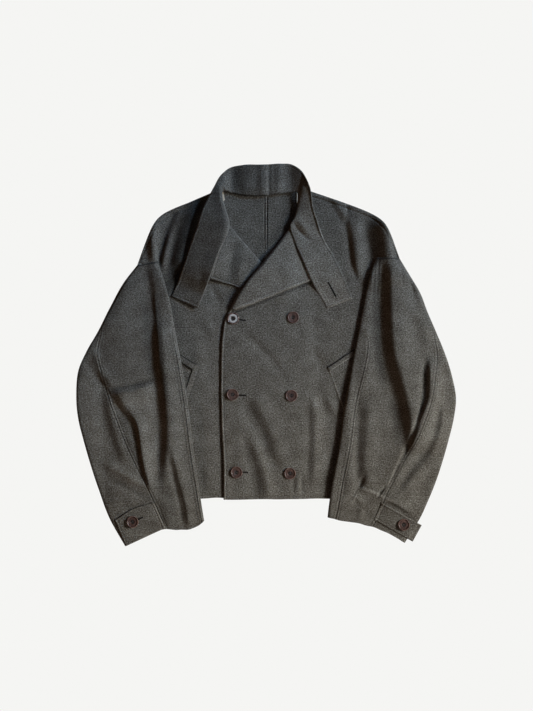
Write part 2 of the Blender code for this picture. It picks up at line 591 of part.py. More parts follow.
def make_buttons(pile):
    """Turned four-hole buttons, each resting on the highest cloth under it."""
    radius = BUTTON_WIDTH / 2
    profile = [(radius * r, 0.0, BUTTON_HEIGHT * h) for r, h in BUTTON_SECTION]
    edges = [(k, k + 1) for k in range(len(profile) - 1)]
    for name, (x, y) in BUTTONS.items():
        ring = np.linspace(0, 2 * math.pi, 24, endpoint=False)
        disc = [(x + radius * s * np.cos(ring), y + radius * s * np.sin(ring)) for s in (0.0, 0.5, 1.0)]
        seat = max(pile.top[pile.places(py), pile.places(px)].max() for px, py in disc) + SEAM
        mesh = bpy.data.meshes.new(name)
        mesh.from_pydata(profile, edges, [])
        button = add_piece(name, mesh, HORN, HORN_ROUGHNESS)
        button.location = (x, y, seat)
        turn = button.modifiers.new("turned", "SCREW")
        turn.steps = BUTTON_SIDES
        turn.render_steps = BUTTON_SIDES
        turn.use_merge_vertices = True
        turn.merge_threshold = 0.00001
        for dx in (-1, 1):
            for dy in (-1, 1):
                place = (x + dx * BUTTON_HOLE_SPACING / 2, y + dy * BUTTON_HOLE_SPACING / 2, seat)
                bpy.ops.mesh.primitive_cylinder_add(
                    vertices=DRILL_SIDES, radius=BUTTON_HOLE / 2, depth=4 * BUTTON_HEIGHT, location=place)
                drill = bpy.context.object
                drill.name = name + "_drill"
                drill.hide_render = True
                drill.display_type = "WIRE"
                for home in drill.users_collection:
                    home.objects.unlink(drill)
                drills.objects.link(drill)
                hole = button.modifiers.new("hole", "BOOLEAN")
                hole.operation = "DIFFERENCE"
                hole.object = drill


for old in list(bpy.data.objects):
    bpy.data.objects.remove(old, do_unlink=True)
jacket = bpy.data.collections.new("cropped_jacket")
drills = bpy.data.collections.new("button_drills")
bpy.context.scene.collection.children.link(jacket)
bpy.context.scene.collection.children.link(drills)

heap = Pile()
make_back(heap)
make_neck_tapes(heap)

before_right = Pile()
before_right.top = heap.top.copy()
make_front("right", heap, FRONT_RIGHT, FRONT_RIGHT_FOLDS)
make_lapel("lapel_right", heap, before_right, LAPEL_RIGHT)

before_left = Pile()
before_left.top = heap.top.copy()
make_front("left", heap, FRONT_LEFT, FRONT_LEFT_FOLDS)
make_lapel("lapel_left", heap, before_left, LAPEL_LEFT)

make_pockets(heap)
make_collar(heap)
make_sleeve("right", heap, SLEEVE_RIGHT, SLEEVE_RIGHT_FOLDS)
make_sleeve("left", heap, SLEEVE_LEFT, SLEEVE_LEFT_FOLDS)
make_cuff_tab("cuff_tab_right", heap, CUFF_TAB_RIGHT)
make_cuff_tab("cuff_tab_left", heap, CUFF_TAB_LEFT)
make_buttons(heap)
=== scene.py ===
# %% [markdown]
# # A cropped wool jacket, laid flat
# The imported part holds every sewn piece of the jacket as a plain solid. This lesson dresses it: each
# piece is laid again as fine cloth in the same place, with its folds, seams, stitches, buttons and wool.
# The frame comes first, because every new piece has to lie where its solid lies.

# %% Load the frame
import math

import bpy
import numpy as np
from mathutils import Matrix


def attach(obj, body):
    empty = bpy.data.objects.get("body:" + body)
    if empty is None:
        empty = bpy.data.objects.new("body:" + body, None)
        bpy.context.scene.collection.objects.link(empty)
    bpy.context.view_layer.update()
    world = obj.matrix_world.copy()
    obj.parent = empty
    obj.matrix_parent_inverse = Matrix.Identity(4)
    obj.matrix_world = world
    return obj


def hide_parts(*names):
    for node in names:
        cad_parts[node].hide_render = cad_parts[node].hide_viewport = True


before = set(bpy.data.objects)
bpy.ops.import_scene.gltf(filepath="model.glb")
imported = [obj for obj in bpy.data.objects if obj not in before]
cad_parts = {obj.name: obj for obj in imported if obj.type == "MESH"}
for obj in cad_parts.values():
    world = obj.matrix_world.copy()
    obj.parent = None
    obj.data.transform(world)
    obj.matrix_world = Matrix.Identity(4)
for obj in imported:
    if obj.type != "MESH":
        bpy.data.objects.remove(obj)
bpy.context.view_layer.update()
print("nodes in the frame:", len(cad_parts))

# %% [markdown]
# ## Camera, floor and light
# The photograph looks straight down on a jacket that was cut out on white, so the camera hangs over the
# middle of the picture. A long lens keeps the edges of the sleeves from leaning. One pixel is 1.8 mm.

# %% Camera over the table
MM = 0.001
PIXEL = 1.8 * MM
PICTURE_HEIGHT = 711 * PIXEL
PICTURE_MIDDLE = (0.5 * PIXEL, -1.0 * PIXEL)
CAMERA_HEIGHT = 4.0
CLOTH_LEVEL = 8 * MM
SENSOR = 36.0

lens = bpy.data.cameras.new("camera")
lens.sensor_fit = "VERTICAL"
lens.sensor_height = SENSOR
lens.lens = SENSOR * (CAMERA_HEIGHT - CLOTH_LEVEL) / PICTURE_HEIGHT
camera = bpy.data.objects.new("camera", lens)
camera.location = (*PICTURE_MIDDLE, CAMERA_HEIGHT)
bpy.context.scene.collection.objects.link(camera)
bpy.context.scene.camera = camera
print("lens:", round(lens.lens, 1), "mm")

# %% [markdown]
# The light comes low from the right, as from a near window: folds are lit on that side and fall into
# shadow on the other. A cool sky light comes in beyond the collar, where the photograph turns blue-grey.
# A weak warm light lies low below the hem. A weak brown one on the left stands for a wall that throws the
# window's light back, and a small pane overhead is there for the bright spot in the top left button.

# %% Window, sky, wall and panes
MIDDLE = (0.0, 0.0, 0.0)
LIGHTS = [                      # name, place, aim, power, colour, size, cone in degrees (0 for a flat pane)
    ("window", (2.89, 0.25, 1.75), (0.04, -0.36, 0.0), 950.0, (0.98, 0.96, 0.91), 0.55, 28),
    ("sky", (2.40, 1.74, 1.42), (0.06, 0.31, 0.0), 1000.0, (0.42, 0.66, 1.0), 0.4, 12),
    ("low_sun", (0.5, -1.70, 0.45), MIDDLE, 8.0, (1.0, 0.80, 0.62), 0.8, 0),
    ("brown_wall", (-2.4, -0.50, 0.65), (-0.12, -0.09, 0.0), 34.0, (1.0, 0.46, 0.17), 0.4, 23),
    ("small_pane", (-0.088, 0.098, 2.0), MIDDLE, 0.9, (0.80, 0.92, 1.0), 0.15, 0),
]

for name, place, aim, power, colour, size, cone in LIGHTS:
    light = bpy.data.lights.new(name, "SPOT" if cone else "AREA")
    light.energy = power
    light.color = colour
    if cone:
        light.spot_size = math.radians(cone)
        light.spot_blend = 1.0
        light.shadow_soft_size = size
    else:
        light.size = size
    stand = bpy.data.objects.new(name, light)
    stand.location = place
    away = np.array(place) - np.array(aim)
    tilt = math.atan2(math.hypot(away[0], away[1]), away[2])
    stand.rotation_euler = (tilt, 0.0, math.atan2(away[0], -away[1]))
    bpy.context.scene.collection.objects.link(stand)
print("lights:", [row[0] for row in LIGHTS])

# %% [markdown]
# The world gives a weak brown fill, as from a room, which keeps the shadows warm. The floor glows by
# itself: it stays pale and takes no shadow, as in a cut-out picture. It sends no light back to the cloth.

# %% Room and floor
ROOM_COLOUR = (1.0, 0.46, 0.20, 1.0)
ROOM_STRENGTH = 0.034
FLOOR_COLOUR = (0.913, 0.913, 0.896, 1.0)
FLOOR_SIZE = 120.0
FLOOR_LEVEL = -0.6 * MM

room = bpy.data.worlds.new("room")
room.use_nodes = True
room_fill = room.node_tree.nodes["Background"]
room_fill.inputs["Color"].default_value = ROOM_COLOUR
room_fill.inputs["Strength"].default_value = ROOM_STRENGTH
bpy.context.scene.world = room
bpy.context.scene.view_settings.view_transform = "Standard"

bpy.ops.object.select_all(action="DESELECT")
bpy.ops.mesh.primitive_plane_add(size=FLOOR_SIZE, location=(0.0, 0.0, FLOOR_LEVEL))
floor = bpy.context.object
floor.name = "floor"
paper = bpy.data.materials.new("pale_paper")
paper.use_nodes = True
paper_shader = paper.node_tree.nodes["Principled BSDF"]
paper_shader.inputs["Base Color"].default_value = (0.0, 0.0, 0.0, 1.0)
paper_shader.inputs["Specular IOR Level"].default_value = 0.0
paper_shader.inputs["Emission Color"].default_value = FLOOR_COLOUR
paper_shader.inputs["Emission Strength"].default_value = 1.0
floor.data.materials.append(paper)
floor.visible_diffuse = False
floor.visible_glossy = False
print("floor:", FLOOR_SIZE, "m a side")

# %% [markdown]
# ## Wool, horn, tape and thread
# The cloth is a felted melange twill: grey-green and brown fibres are mixed before they are spun, so a
# single thread is never one colour. The mixture is a node group, which can be read and changed in one
# place. It reads a map in metres that follows each piece's own grain, and gives a colour and a height.

# %% Node helpers


def node(tree, kind, sockets=None, **settings):
    """Adds a node, sets its properties, and sets or links its sockets."""
    made = tree.nodes.new(kind)
    for key, value in settings.items():
        setattr(made, key, value)
    for key, value in (sockets or {}).items():
        if isinstance(value, bpy.types.NodeSocket):
            tree.links.new(value, made.inputs[key])
        else:
            made.inputs[key].default_value = value
    return made


def maths(tree, operation, *values):
    """The result of a math node on numbers or sockets."""
    return node(tree, "ShaderNodeMath", dict(enumerate(values)), operation=operation).outputs[0]


def noise(tree, place, scale, detail, roughness):
    """Cloudy noise with about `scale` spots to a metre."""
    sockets = {"Vector": place, "Scale": scale, "Detail": detail, "Roughness": roughness}
    return node(tree, "ShaderNodeTexNoise", sockets).outputs["Fac"]


def ramp(tree, value, stops):
    """A colour ramp through (place, colour) stops."""
    made = node(tree, "ShaderNodeValToRGB", {"Fac": value})
    band = made.color_ramp
    while len(band.elements) < len(stops):
        band.elements.new(0.5)
    for element, (place, colour) in zip(band.elements, stops):
        element.position = place
        element.color = (*colour, 1.0)
    return made.outputs["Color"]


# %% The melange twill group
RIB_PITCH = 1.7 * MM            # twill rib to twill rib
YARN_MOTTLE = 420.0             # spots to a metre, each about a rib and a half wide
FIBRE_FINE = 1500.0             # fibres to a metre, across the grain
FIBRE_DRAWN = (1.0, 0.28, 1.0)  # fibres are drawn out along the grain
PATCH = 42.0                    # patches to a metre, as the mixture drifts
RIB_UNEVEN = 5.0                # how far the mottle bends a rib, in radians
FIBRE_SHARE = 0.34
RIB_SHARE = 0.035
PATCH_SHARE = 0.20
MIX_LEVEL = 0.27
WOOL_STOPS = [
    (0.23, (0.016, 0.012, 0.009)),
    (0.43, (0.053, 0.047, 0.040)),
    (0.57, (0.099, 0.097, 0.087)),
    (0.77, (0.215, 0.218, 0.200)),
]


def melange_twill():
    """Fibres, mottled yarn and twill ribs in one mixture."""
    group = bpy.data.node_groups.new("melange_twill", "ShaderNodeTree")
    group.interface.new_socket("Map", in_out="INPUT", socket_type="NodeSocketVector")
    group.interface.new_socket("Color", in_out="OUTPUT", socket_type="NodeSocketColor")
    group.interface.new_socket("Height", in_out="OUTPUT", socket_type="NodeSocketFloat")
    place = group.nodes.new("NodeGroupInput").outputs["Map"]
    result = group.nodes.new("NodeGroupOutput")
    mottle = noise(group, place, YARN_MOTTLE, 3.0, 0.62)
    drawn = node(group, "ShaderNodeMapping", {"Vector": place, "Scale": FIBRE_DRAWN})
    fibre = noise(group, drawn.outputs[0], FIBRE_FINE, 2.0, 0.5)
    patch = noise(group, place, PATCH, 2.0, 0.5)
    split = node(group, "ShaderNodeSeparateXYZ", {"Vector": place})
    slant = maths(group, "ADD", split.outputs["X"], split.outputs["Y"])
    turns = maths(group, "MULTIPLY", slant, 2 * math.pi / RIB_PITCH)
    rib = maths(group, "SINE", maths(group, "MULTIPLY_ADD", mottle, RIB_UNEVEN, turns))
    mixed = maths(group, "MULTIPLY_ADD", fibre, FIBRE_SHARE, mottle)
    ribbed = maths(group, "MULTIPLY_ADD", rib, RIB_SHARE, mixed)
    drift = maths(group, "MULTIPLY_ADD", patch, PATCH_SHARE, ribbed)
    level = maths(group, "SUBTRACT", drift, MIX_LEVEL)
    group.links.new(ramp(group, level, WOOL_STOPS), result.inputs["Color"])
    group.links.new(ribbed, result.inputs["Height"])
    return group


twill = melange_twill()
print("node group:", twill.name)

# %% [markdown]
# Wool scatters light in its fuzz, so it has hardly any gloss and its edges catch a soft sheen. A value
# that comes with each piece paints light and shade into its colour: paler for a painted highlight, darker
# for painted shade.

# %% Wool
WOOL_BUMP = 0.55
WOOL_RELIEF = 0.6 * MM
WOOL_SHEEN = (0.80, 0.86, 0.84, 1.0)


def material(name):
    """A new material, its nodes and its shader."""
    made = bpy.data.materials.new(name)
    made.use_nodes = True
    return made, made.node_tree, made.node_tree.nodes["Principled BSDF"]


def wool_cloth():
    """Wool that reads the piece's own map, with light and shade painted into its colour."""
    made, tree, shader = material("melange_wool")
    grain = node(tree, "ShaderNodeUVMap", uv_map="grain")
    mixture = node(tree, "ShaderNodeGroup", node_tree=twill)
    tree.links.new(grain.outputs["UV"], mixture.inputs["Map"])
    relief = node(tree, "ShaderNodeBump",
                  {"Height": mixture.outputs["Height"], "Strength": WOOL_BUMP, "Distance": WOOL_RELIEF})
    # Painted light and shade: the value scales the colour up for a painted highlight and down for painted
    # shade.
    painted_tone = node(tree, "ShaderNodeAttribute", attribute_name="painted_shading")
    tone = maths(tree, "ADD", painted_tone.outputs["Fac"], 1.0)
    toned = node(tree, "ShaderNodeVectorMath",
                 {"Vector": mixture.outputs["Color"], "Scale": tone}, operation="SCALE")
    tree.links.new(toned.outputs[0], shader.inputs["Base Color"])
    tree.links.new(relief.outputs["Normal"], shader.inputs["Normal"])
    shader.inputs["Roughness"].default_value = 0.92
    shader.inputs["Specular IOR Level"].default_value = 0.12
    shader.inputs["Sheen Weight"].default_value = 0.10
    shader.inputs["Sheen Roughness"].default_value = 0.45
    shader.inputs["Sheen Tint"].default_value = WOOL_SHEEN
    return made


WOOL = wool_cloth()
print("cloth:", WOOL.name)

# %% [markdown]
# Horn is brown with paler streaks. Painted rings darken the middle and pale the plate, paint shade into the
# groove inside the rim and a highlight on the rim, and the polish is a clear coat over all of it.

# %% Horn
HORN_STREAKS = 420.0            # to a metre
HORN_DRAWN = (1.0, 0.35, 1.0)
HORN_STOPS = [
    (0.30, (0.013, 0.006, 0.005)),
    (0.52, (0.037, 0.018, 0.015)),
    (0.72, (0.085, 0.050, 0.043)),
]
# Painted light and shade in rings: a darker middle, a paler plate, shade in the groove and a highlight on the
# rim.
HORN_PAINTED_RINGS = [                  # from the middle out to the rim
    (0.32, (0.25, 0.25, 0.25)),
    (0.42, (1.15, 1.05, 1.00)),
    (0.72, (1.35, 1.15, 1.05)),
    (0.79, (0.20, 0.18, 0.16)),
    (0.86, (1.20, 1.15, 1.10)),
    (0.93, (2.60, 2.50, 2.40)),
]


def horn():
    """Polished horn, streaked, with rings of painted shade and highlight."""
    made, tree, shader = material("horn")
    place = node(tree, "ShaderNodeTexCoord")
    drawn = node(tree, "ShaderNodeMapping", {"Vector": place.outputs["Object"], "Scale": HORN_DRAWN})
    colour = ramp(tree, noise(tree, drawn.outputs[0], HORN_STREAKS, 4.0, 0.6), HORN_STOPS)
    turned = node(tree, "ShaderNodeAttribute", attribute_name="turned")
    rings = ramp(tree, turned.outputs["Fac"], HORN_PAINTED_RINGS)
    ringed = node(tree, "ShaderNodeMix", {"Factor": 1.0, 6: colour, 7: rings},
                  data_type="RGBA", blend_type="MULTIPLY")
    tree.links.new(ringed.outputs[2], shader.inputs["Base Color"])
    shader.inputs["Roughness"].default_value = 0.55
    shader.inputs["Coat Weight"].default_value = 0.5
    shader.inputs["Coat Roughness"].default_value = 0.06
    return made


HORN = horn()
print("buttons are of", HORN.name)

# %% [markdown]
# Thread and tape are spun yarn in two tones. Most topstitching is dark, and where it catches the light it
# looks pale, so the pale thread is painted light. The buttonholes and the button thread are sewn in black,
# and black thread along the pocket mouths stands for their shadow. So there are three threads.

# %% Threads and tape
THREAD_TWIST = 1800.0           # plies to a metre
TAPE_WEAVE = 900.0
YARN_RELIEF = 0.2 * MM


def spun(name, dark, light, twist):
    """Thread or tape: two tones of the same yarn in a fine twist."""
    made, tree, shader = material(name)
    place = node(tree, "ShaderNodeTexCoord")
    ply = noise(tree, place.outputs["Object"], twist, 3.0, 0.6)
    tree.links.new(ramp(tree, ply, [(0.35, dark), (0.65, light)]), shader.inputs["Base Color"])
    relief = node(tree, "ShaderNodeBump", {"Height": ply, "Strength": 0.5, "Distance": YARN_RELIEF})
    tree.links.new(relief.outputs["Normal"], shader.inputs["Normal"])
    shader.inputs["Roughness"].default_value = 0.85
    shader.inputs["Specular IOR Level"].default_value = 0.15
    return made


THREAD = {
    "dark": spun("dark_thread", (0.030, 0.026, 0.022), (0.085, 0.078, 0.068), THREAD_TWIST),
    "pale": spun("pale_thread", (0.15, 0.145, 0.13), (0.30, 0.29, 0.265), THREAD_TWIST),
    "black": spun("buttonhole_thread", (0.004, 0.0035, 0.003), (0.014, 0.012, 0.011), THREAD_TWIST),
}
TAPE = spun("cotton_tape", (0.36, 0.31, 0.24), (0.62, 0.56, 0.46), TAPE_WEAVE)
print("yarns:", [thread.name for thread in THREAD.values()], TAPE.name)

# %% [markdown]
# ## How cloth is laid
# A laid garment is a pile: every piece rests on whatever lies under it, and stiff cloth bridges the
# steps. So each new sheet asks a height map for its bed, adds its own loft and folds, and then raises the
# map.

# %% The pile under each new piece
WALL = 1.6 * MM                 # one layer of cloth
DOUBLED = 2.0 * MM              # two layers, pressed together
TRIM = 1.2 * MM                 # tape and welts
BUTTED = 0.03 * MM              # between two edges that meet in a seam
EASE = 0.5 * MM                 # air between two layers
PILE_REACH = 0.37
PILE_CELL = 2.5 * MM
BETWEEN = (0.0, 0.33, 0.67, 1.0)
BRIDGE = 15 * MM
SOFTEN = 9 * MM


class Pile:
    """Height map of the pieces laid so far."""

    def __init__(self):
        self.cells = int(2 * PILE_REACH / PILE_CELL) + 1
        self.top = np.zeros((self.cells, self.cells))

    def copy(self):
        other = Pile()
        other.top = self.top.copy()
        return other

    def places(self, value):
        return np.clip(np.rint((value + PILE_REACH) / PILE_CELL).astype(int), 0, self.cells - 1)

    def lay(self, surface):
        """Raises the map to a piece's upper face, read between its points too."""
        for s in BETWEEN:
            rows = surface[:-1] * (1 - s) + surface[1:] * s
            for t in BETWEEN:
                point = rows[:, :-1] * (1 - t) + rows[:, 1:] * t
                spot = (self.places(point[..., 1]), self.places(point[..., 0]))
                np.maximum.at(self.top, spot, point[..., 2])

    def bed(self, x, y, bridge=BRIDGE, soften=SOFTEN):
        """Height at which a new piece rests: the map, widened at its steps and then smoothed."""
        level = self.top
        wide = int(round(bridge / PILE_CELL))
        soft = int(round(soften / PILE_CELL))
        for axis in (0, 1):
            level = np.max([np.roll(level, k, axis) for k in range(-wide, wide + 1)], axis=0)
        for axis in (0, 1):
            level = np.mean([np.roll(level, k, axis) for k in range(-soft, soft + 1)], axis=0)
        across = np.clip((x + PILE_REACH) / PILE_CELL, 0, self.cells - 1.001)
        along = np.clip((y + PILE_REACH) / PILE_CELL, 0, self.cells - 1.001)
        i = along.astype(int)
        j = across.astype(int)
        s = along - i
        t = across - j
        near = level[i, j] * (1 - t) + level[i, j + 1] * t
        far = level[i + 1, j] * (1 - t) + level[i + 1, j + 1] * t
        rest = near * (1 - s) + far * s
        return rest + EASE * np.clip(rest / WALL, 0, 1)


heap = Pile()
print("the pile has", heap.cells, "cells a side")

# %% [markdown]
# ## From a table to a sheet
# Each piece is cut by a short table in millimetres: a row for each section, with its two edges. A smooth
# path runs through the rows. Points lie closer beside an edge, where cloth turns under and where a row of
# stitches dents it, so that both are real shapes and not only shading.

# %% Sections read from a table
PLAIN_EDGE = (0.0, 0.5, 1.2, 2.4)
SEWN_EDGE = (0.0, 0.4, 1.0, 1.8, 2.8, 3.8, 4.4, 4.8, 5.2, 5.8, 7.2)
SEW_IN = 4.8
SEWN_AT = SEWN_EDGE.index(SEW_IN)
EDGE_SEWN_AT = SEWN_EDGE.index(1.8)
EDGES_TAKE = 0.8                # of a row too narrow for both edges
CELL = 2.6 * MM


def run_along(points):
    """How far each point lies from the first, along the line through them."""
    return np.concatenate([[0.0], np.cumsum(np.linalg.norm(np.diff(points, axis=0), axis=1))])


def eased(first, second, first_slope, second_slope, t):
    """A smooth way from one value to the next, with a given slope at both."""
    start = first * (1 + 2 * t) * (1 - t) ** 2 + first_slope * t * (1 - t) ** 2
    end = second * t * t * (3 - 2 * t) + second_slope * t * t * (t - 1)
    return start + end


def stations(table, spacing=CELL, ends=(PLAIN_EDGE, PLAIN_EDGE), straight=False):
    """Rows along a piece, and how far each lies from the first, down the middle."""
    rows = np.array(table, dtype=float)
    rows[:, 0:4] *= MM
    far = run_along((rows[:, 0:2] + rows[:, 2:4]) / 2)
    knots = far + run_along(rows[:, 2:4])
    first = np.array(ends[0]) * MM
    last = far[-1] - np.array(ends[1])[::-1] * MM
    count = max(2, int((last[0] - first[-1]) / spacing))
    along = np.concatenate([first, np.linspace(first[-1], last[0], count + 1)[1:-1], last])
    at = np.interp(along, far, knots)
    if straight:
        return np.stack([np.interp(at, knots, column) for column in rows.T], axis=1), along
    slope = np.gradient(rows, knots, axis=0)
    i = np.clip(np.searchsorted(knots, at, side="right") - 1, 0, len(knots) - 2)
    gap = (knots[i + 1] - knots[i])[:, None]
    t = (at - knots[i])[:, None] / gap
    return eased(rows[i], rows[i + 1], slope[i] * gap, slope[i + 1] * gap, t), along


def widths(rows):
    """Width of each row, from its first edge to its second."""
    return np.linalg.norm(rows[:, 2:4] - rows[:, 0:2], axis=1)[:, None]


def columns(width, spacing=CELL, near=PLAIN_EDGE, far=PLAIN_EDGE):
    """Shares of the width at which points lie, with the same distances from both edges on every row."""
    near = np.array(near) * MM
    far = np.array(far)[::-1] * MM
    squeeze = np.minimum(1.0, EDGES_TAKE * width / (near[-1] + far[0]))
    first = near * squeeze / width
    last = 1 - far * squeeze / width
    inner = np.linspace(0, 1, max(2, int(width.max() / spacing)) + 1)[1:-1]
    middle = first[:, -1:] + (last[:, :1] - first[:, -1:]) * inner
    return np.hstack([first, middle, last])


def ruled(rows, share):
    """Plan of a strip: each row runs straight from its first point to its second."""
    return rows[:, None, 0:2] * (1 - share[..., None]) + rows[:, None, 2:4] * share[..., None]


SHOULDER_PULL = 3.0


def shouldered(rows, share, corner):
    """Plan of a panel whose last rows bend over the shoulder's corner, as conics drawn towards it."""
    first = rows[:, None, 0:2]
    second = rows[:, None, 2:4]
    turned = np.clip(rows[:, None, 4:5], 0, 1)
    middle = (first + second) / 2
    control = middle + turned * (np.array(corner) * MM - middle[-1])
    pull = 1 + SHOULDER_PULL * turned
    t = share[..., None]
    whole = (1 - t) ** 2 + 2 * pull * t * (1 - t) + t * t
    return ((1 - t) ** 2 * first + 2 * pull * t * (1 - t) * control + t * t * second) / whole


print("edges have", len(PLAIN_EDGE), "or", len(SEWN_EDGE), "rows of points")

# %% [markdown]
# Folds are given one row each: a height, how far the fold spreads on the left and on the right of its
# path, and the points of the path, all in millimetres. Paths run from the collar down or from left to right.
# Between the named folds cloth is never quite even, so a seeded ripple adds a slow unevenness.
# The same kind of row, with a share in the place of the height, paints a soft stroke of light or shade
# into the cloth's colour: a painted highlight where the share is above 0, painted shade where it is below.

# %% Folds and strokes
PATH_STEPS = 8
FOLD_TAPER = 34 * MM
TAPER_SHARE = 0.45              # of a short fold
FOLD_REACH = 3                  # spreads past which a fold is flat


def smooth_step(value):
    """0 up to 0, 1 from 1 on, and an even curve between them."""
    value = np.clip(value, 0, 1)
    return value * value * (3 - 2 * value)


def smooth_path(points):
    """A smooth line through given points, in metres."""
    knots = np.array(points, dtype=float) * MM
    slope = np.gradient(knots, axis=0)
    t = np.linspace(0, 1, PATH_STEPS, endpoint=False)[:, None]
    path = [eased(knots[k], knots[k + 1], slope[k], slope[k + 1], t) for k in range(len(knots) - 1)]
    return np.vstack(path + [knots[-1:]])


def fold_relief(x, y, folds):
    """Height that folds add: a ridge or a trough along each path, fading at its ends."""
    relief = np.zeros_like(x)
    for height, left, right, points in folds:
        path = smooth_path(points)
        reach = FOLD_REACH * max(left, right) * MM
        low = path.min(axis=0) - reach
        high = path.max(axis=0) + reach
        inside = (x > low[0]) & (x < high[0]) & (y > low[1]) & (y < high[1])
        px = x[inside]
        py = y[inside]
        nearest = np.full(px.shape, np.inf)
        side = np.zeros_like(px)
        place = np.zeros_like(px)
        far = run_along(path)
        taper = min(FOLD_TAPER, TAPER_SHARE * far[-1])
        for k in range(len(path) - 1):
            step = path[k + 1] - path[k]
            share = ((px - path[k, 0]) * step[0] + (py - path[k, 1]) * step[1]) / (step @ step)
            share = np.clip(share, 0, 1)
            dx = px - path[k, 0] - share * step[0]
            dy = py - path[k, 1] - share * step[1]
            gap = np.hypot(dx, dy)
            closer = gap < nearest
            nearest = np.where(closer, gap, nearest)
            side = np.where(closer, step[0] * dy - step[1] * dx, side)
            place = np.where(closer, far[k] + share * (far[k + 1] - far[k]), place)
        spread = np.where(side > 0, left, right) * MM
        fade = smooth_step(place / taper) * smooth_step((far[-1] - place) / taper)
        relief[inside] += height * MM * fade * np.exp(-(nearest / spread) ** 2)
    return relief


def strokes(x, y, rows):
    """Shares by which soft strokes of painted light and shade make the cloth paler or darker."""
    return fold_relief(x, y, rows) / MM


# %% Ripples
LATTICE = 96
LATTICE_SHIFT = 40
RIPPLE_TURNS = ((0.5, 0.6), (1.9, 0.4))     # angle of each of two lattices, and its share


def ripple(x, y, size, seed):
    """Smooth unevenness between -1 and 1, in humps about `size` across."""
    lattice = np.random.default_rng(seed).uniform(-1, 1, (LATTICE + 1, LATTICE + 1))
    total = np.zeros_like(x)
    for turn, share in RIPPLE_TURNS:
        u = (x * math.cos(turn) - y * math.sin(turn)) / size + LATTICE_SHIFT
        v = (x * math.sin(turn) + y * math.cos(turn)) / size + LATTICE_SHIFT
        i = np.floor(u).astype(int) % LATTICE
        j = np.floor(v).astype(int) % LATTICE
        s = smooth_step(u - np.floor(u))
        t = smooth_step(v - np.floor(v))
        near = lattice[i, j] * (1 - s) + lattice[i + 1, j] * s
        far = lattice[i, j + 1] * (1 - s) + lattice[i + 1, j + 1] * s
        total += share * (near * (1 - t) + far * t)
    return total


def unevenness(x, y, humps, seed):
    """Ripples from rows of a height and a size in millimetres, and a step to the seed."""
    return sum(height * MM * ripple(x, y, size * MM, seed + step) for height, size, step in humps)


# %% [markdown]
# A sewn edge is turned under, so it falls away over a small rounding. Its row of stitches pulls a dent
# into the cloth, and the cloth puffs up between the dent and the edge. The dent and the puff are what
# shows from afar.

# %% Edges
EDGE_ROUND = 2.8 * MM
DENT_WIDTH = 0.9 * MM
PUFF_IN = 2.0 * MM
PUFF_WIDTH = 1.5 * MM
PAINTED_BAND_FADES = 0.8 * MM


def bell(gap, middle, spread):
    """1 at a distance from an edge, and falling off on both sides of it."""
    return np.exp(-((gap - middle) / spread) ** 2)


def turn_under(gap, reach):
    """1 on an edge and 0 from `reach` on, by a quarter of a circle."""
    near = np.clip(gap / reach, 0, 1)
    return 1 - np.sqrt(1 - (1 - near) ** 2)


def edge_relief(gap, fall, dent=0.0, puff=0.0):
    """A turned edge falls away over its rounding; stitches dent it further in, and it puffs between them."""
    dip = dent * bell(gap, SEW_IN * MM, DENT_WIDTH)
    return puff * bell(gap, PUFF_IN, PUFF_WIDTH) - fall * turn_under(gap, EDGE_ROUND) - dip


def painted_edge_band(gap, wide, amount):
    """A painted band along an edge: a painted highlight (painted shade, if negative) from the edge to `wide`
    inside it.
    """
    return amount * (1 - smooth_step((gap - wide) / PAINTED_BAND_FADES))


print("stitches lie", SEW_IN, "mm inside a sewn edge")

# %% [markdown]
# A sheet starts as Blender's grid, with as many points as its plan. Its points are then moved to their
# places on the pile. Its map is set in metres along the grain and grows with the way up and down each
# slope, so that the weave isn't stretched where cloth climbs. Solidify gives the sheet the cloth's wall.

# %% Sheets of cloth
SMOOTH_BELOW = math.radians(55)
sheets = {}
sewing_lines = {"dark": [], "pale": [], "black": []}


def cloth_sheet(name, points, wall, grain, finish, faces_up=True, painted_shading=0.0):
    """Makes a grid, moves its points, maps it along its grain and gives it a wall below its skin."""
    rows, cols = points.shape[:2]
    step = np.diff(points, axis=1)
    flat = np.hypot(step[..., 0], step[..., 1])
    climb = np.cumsum(np.hypot(flat, step[..., 2]) - flat, axis=1)
    grain = grain.copy()
    grain[:, 1:, 0] += np.sign(grain[:, -1:, 0] - grain[:, :1, 0]) * climb
    bpy.ops.object.select_all(action="DESELECT")
    bpy.ops.mesh.primitive_grid_add(x_subdivisions=cols - 1, y_subdivisions=rows - 1, size=1.0)
    piece = bpy.context.object
    piece.name = name
    mesh = piece.data
    mesh.vertices.foreach_set("co", points.reshape(-1).astype(np.float32))
    corners = np.empty(len(mesh.loops), dtype=np.int32)
    mesh.loops.foreach_get("vertex_index", corners)
    mesh.uv_layers[0].name = "grain"
    mesh.uv_layers[0].data.foreach_set("uv", grain.reshape(-1, 2)[corners].ravel().astype(np.float32))
    # Painted light and shade, one value a point, which the wool reads into its colour.
    shading_paint = mesh.attributes.new("painted_shading", "FLOAT", "POINT")
    shading_paint.data.foreach_set("value", (painted_shading + np.zeros((rows, cols))).ravel().astype(np.float32))
    normal = np.cross(np.gradient(points, axis=1), np.gradient(points, axis=0))
    if (normal[..., 2].mean() > 0) != faces_up:
        mesh.flip_normals()
    mesh.update()
    solid = piece.modifiers.new("wall", "SOLIDIFY")
    solid.thickness = wall
    solid.offset = -1
    bpy.ops.object.modifier_apply(modifier="wall")
    bpy.ops.object.shade_smooth_by_angle(angle=SMOOTH_BELOW)
    piece.data.materials.append(finish)
    sheets[name] = piece
    return piece


def sew(points, thread="dark"):
    """Remembers a line of stitches along a row or a column of points on a sheet."""
    sewing_lines[thread].append(np.array(points))


print("threads to sew with:", list(sewing_lines))

# %% [markdown]
# ## The back
# The back is cut in two, with a seam down the middle that shows inside the neck. It lies flat on the
# table, so it stays flat, apart from a slight rise inside the neck where nothing presses on it.

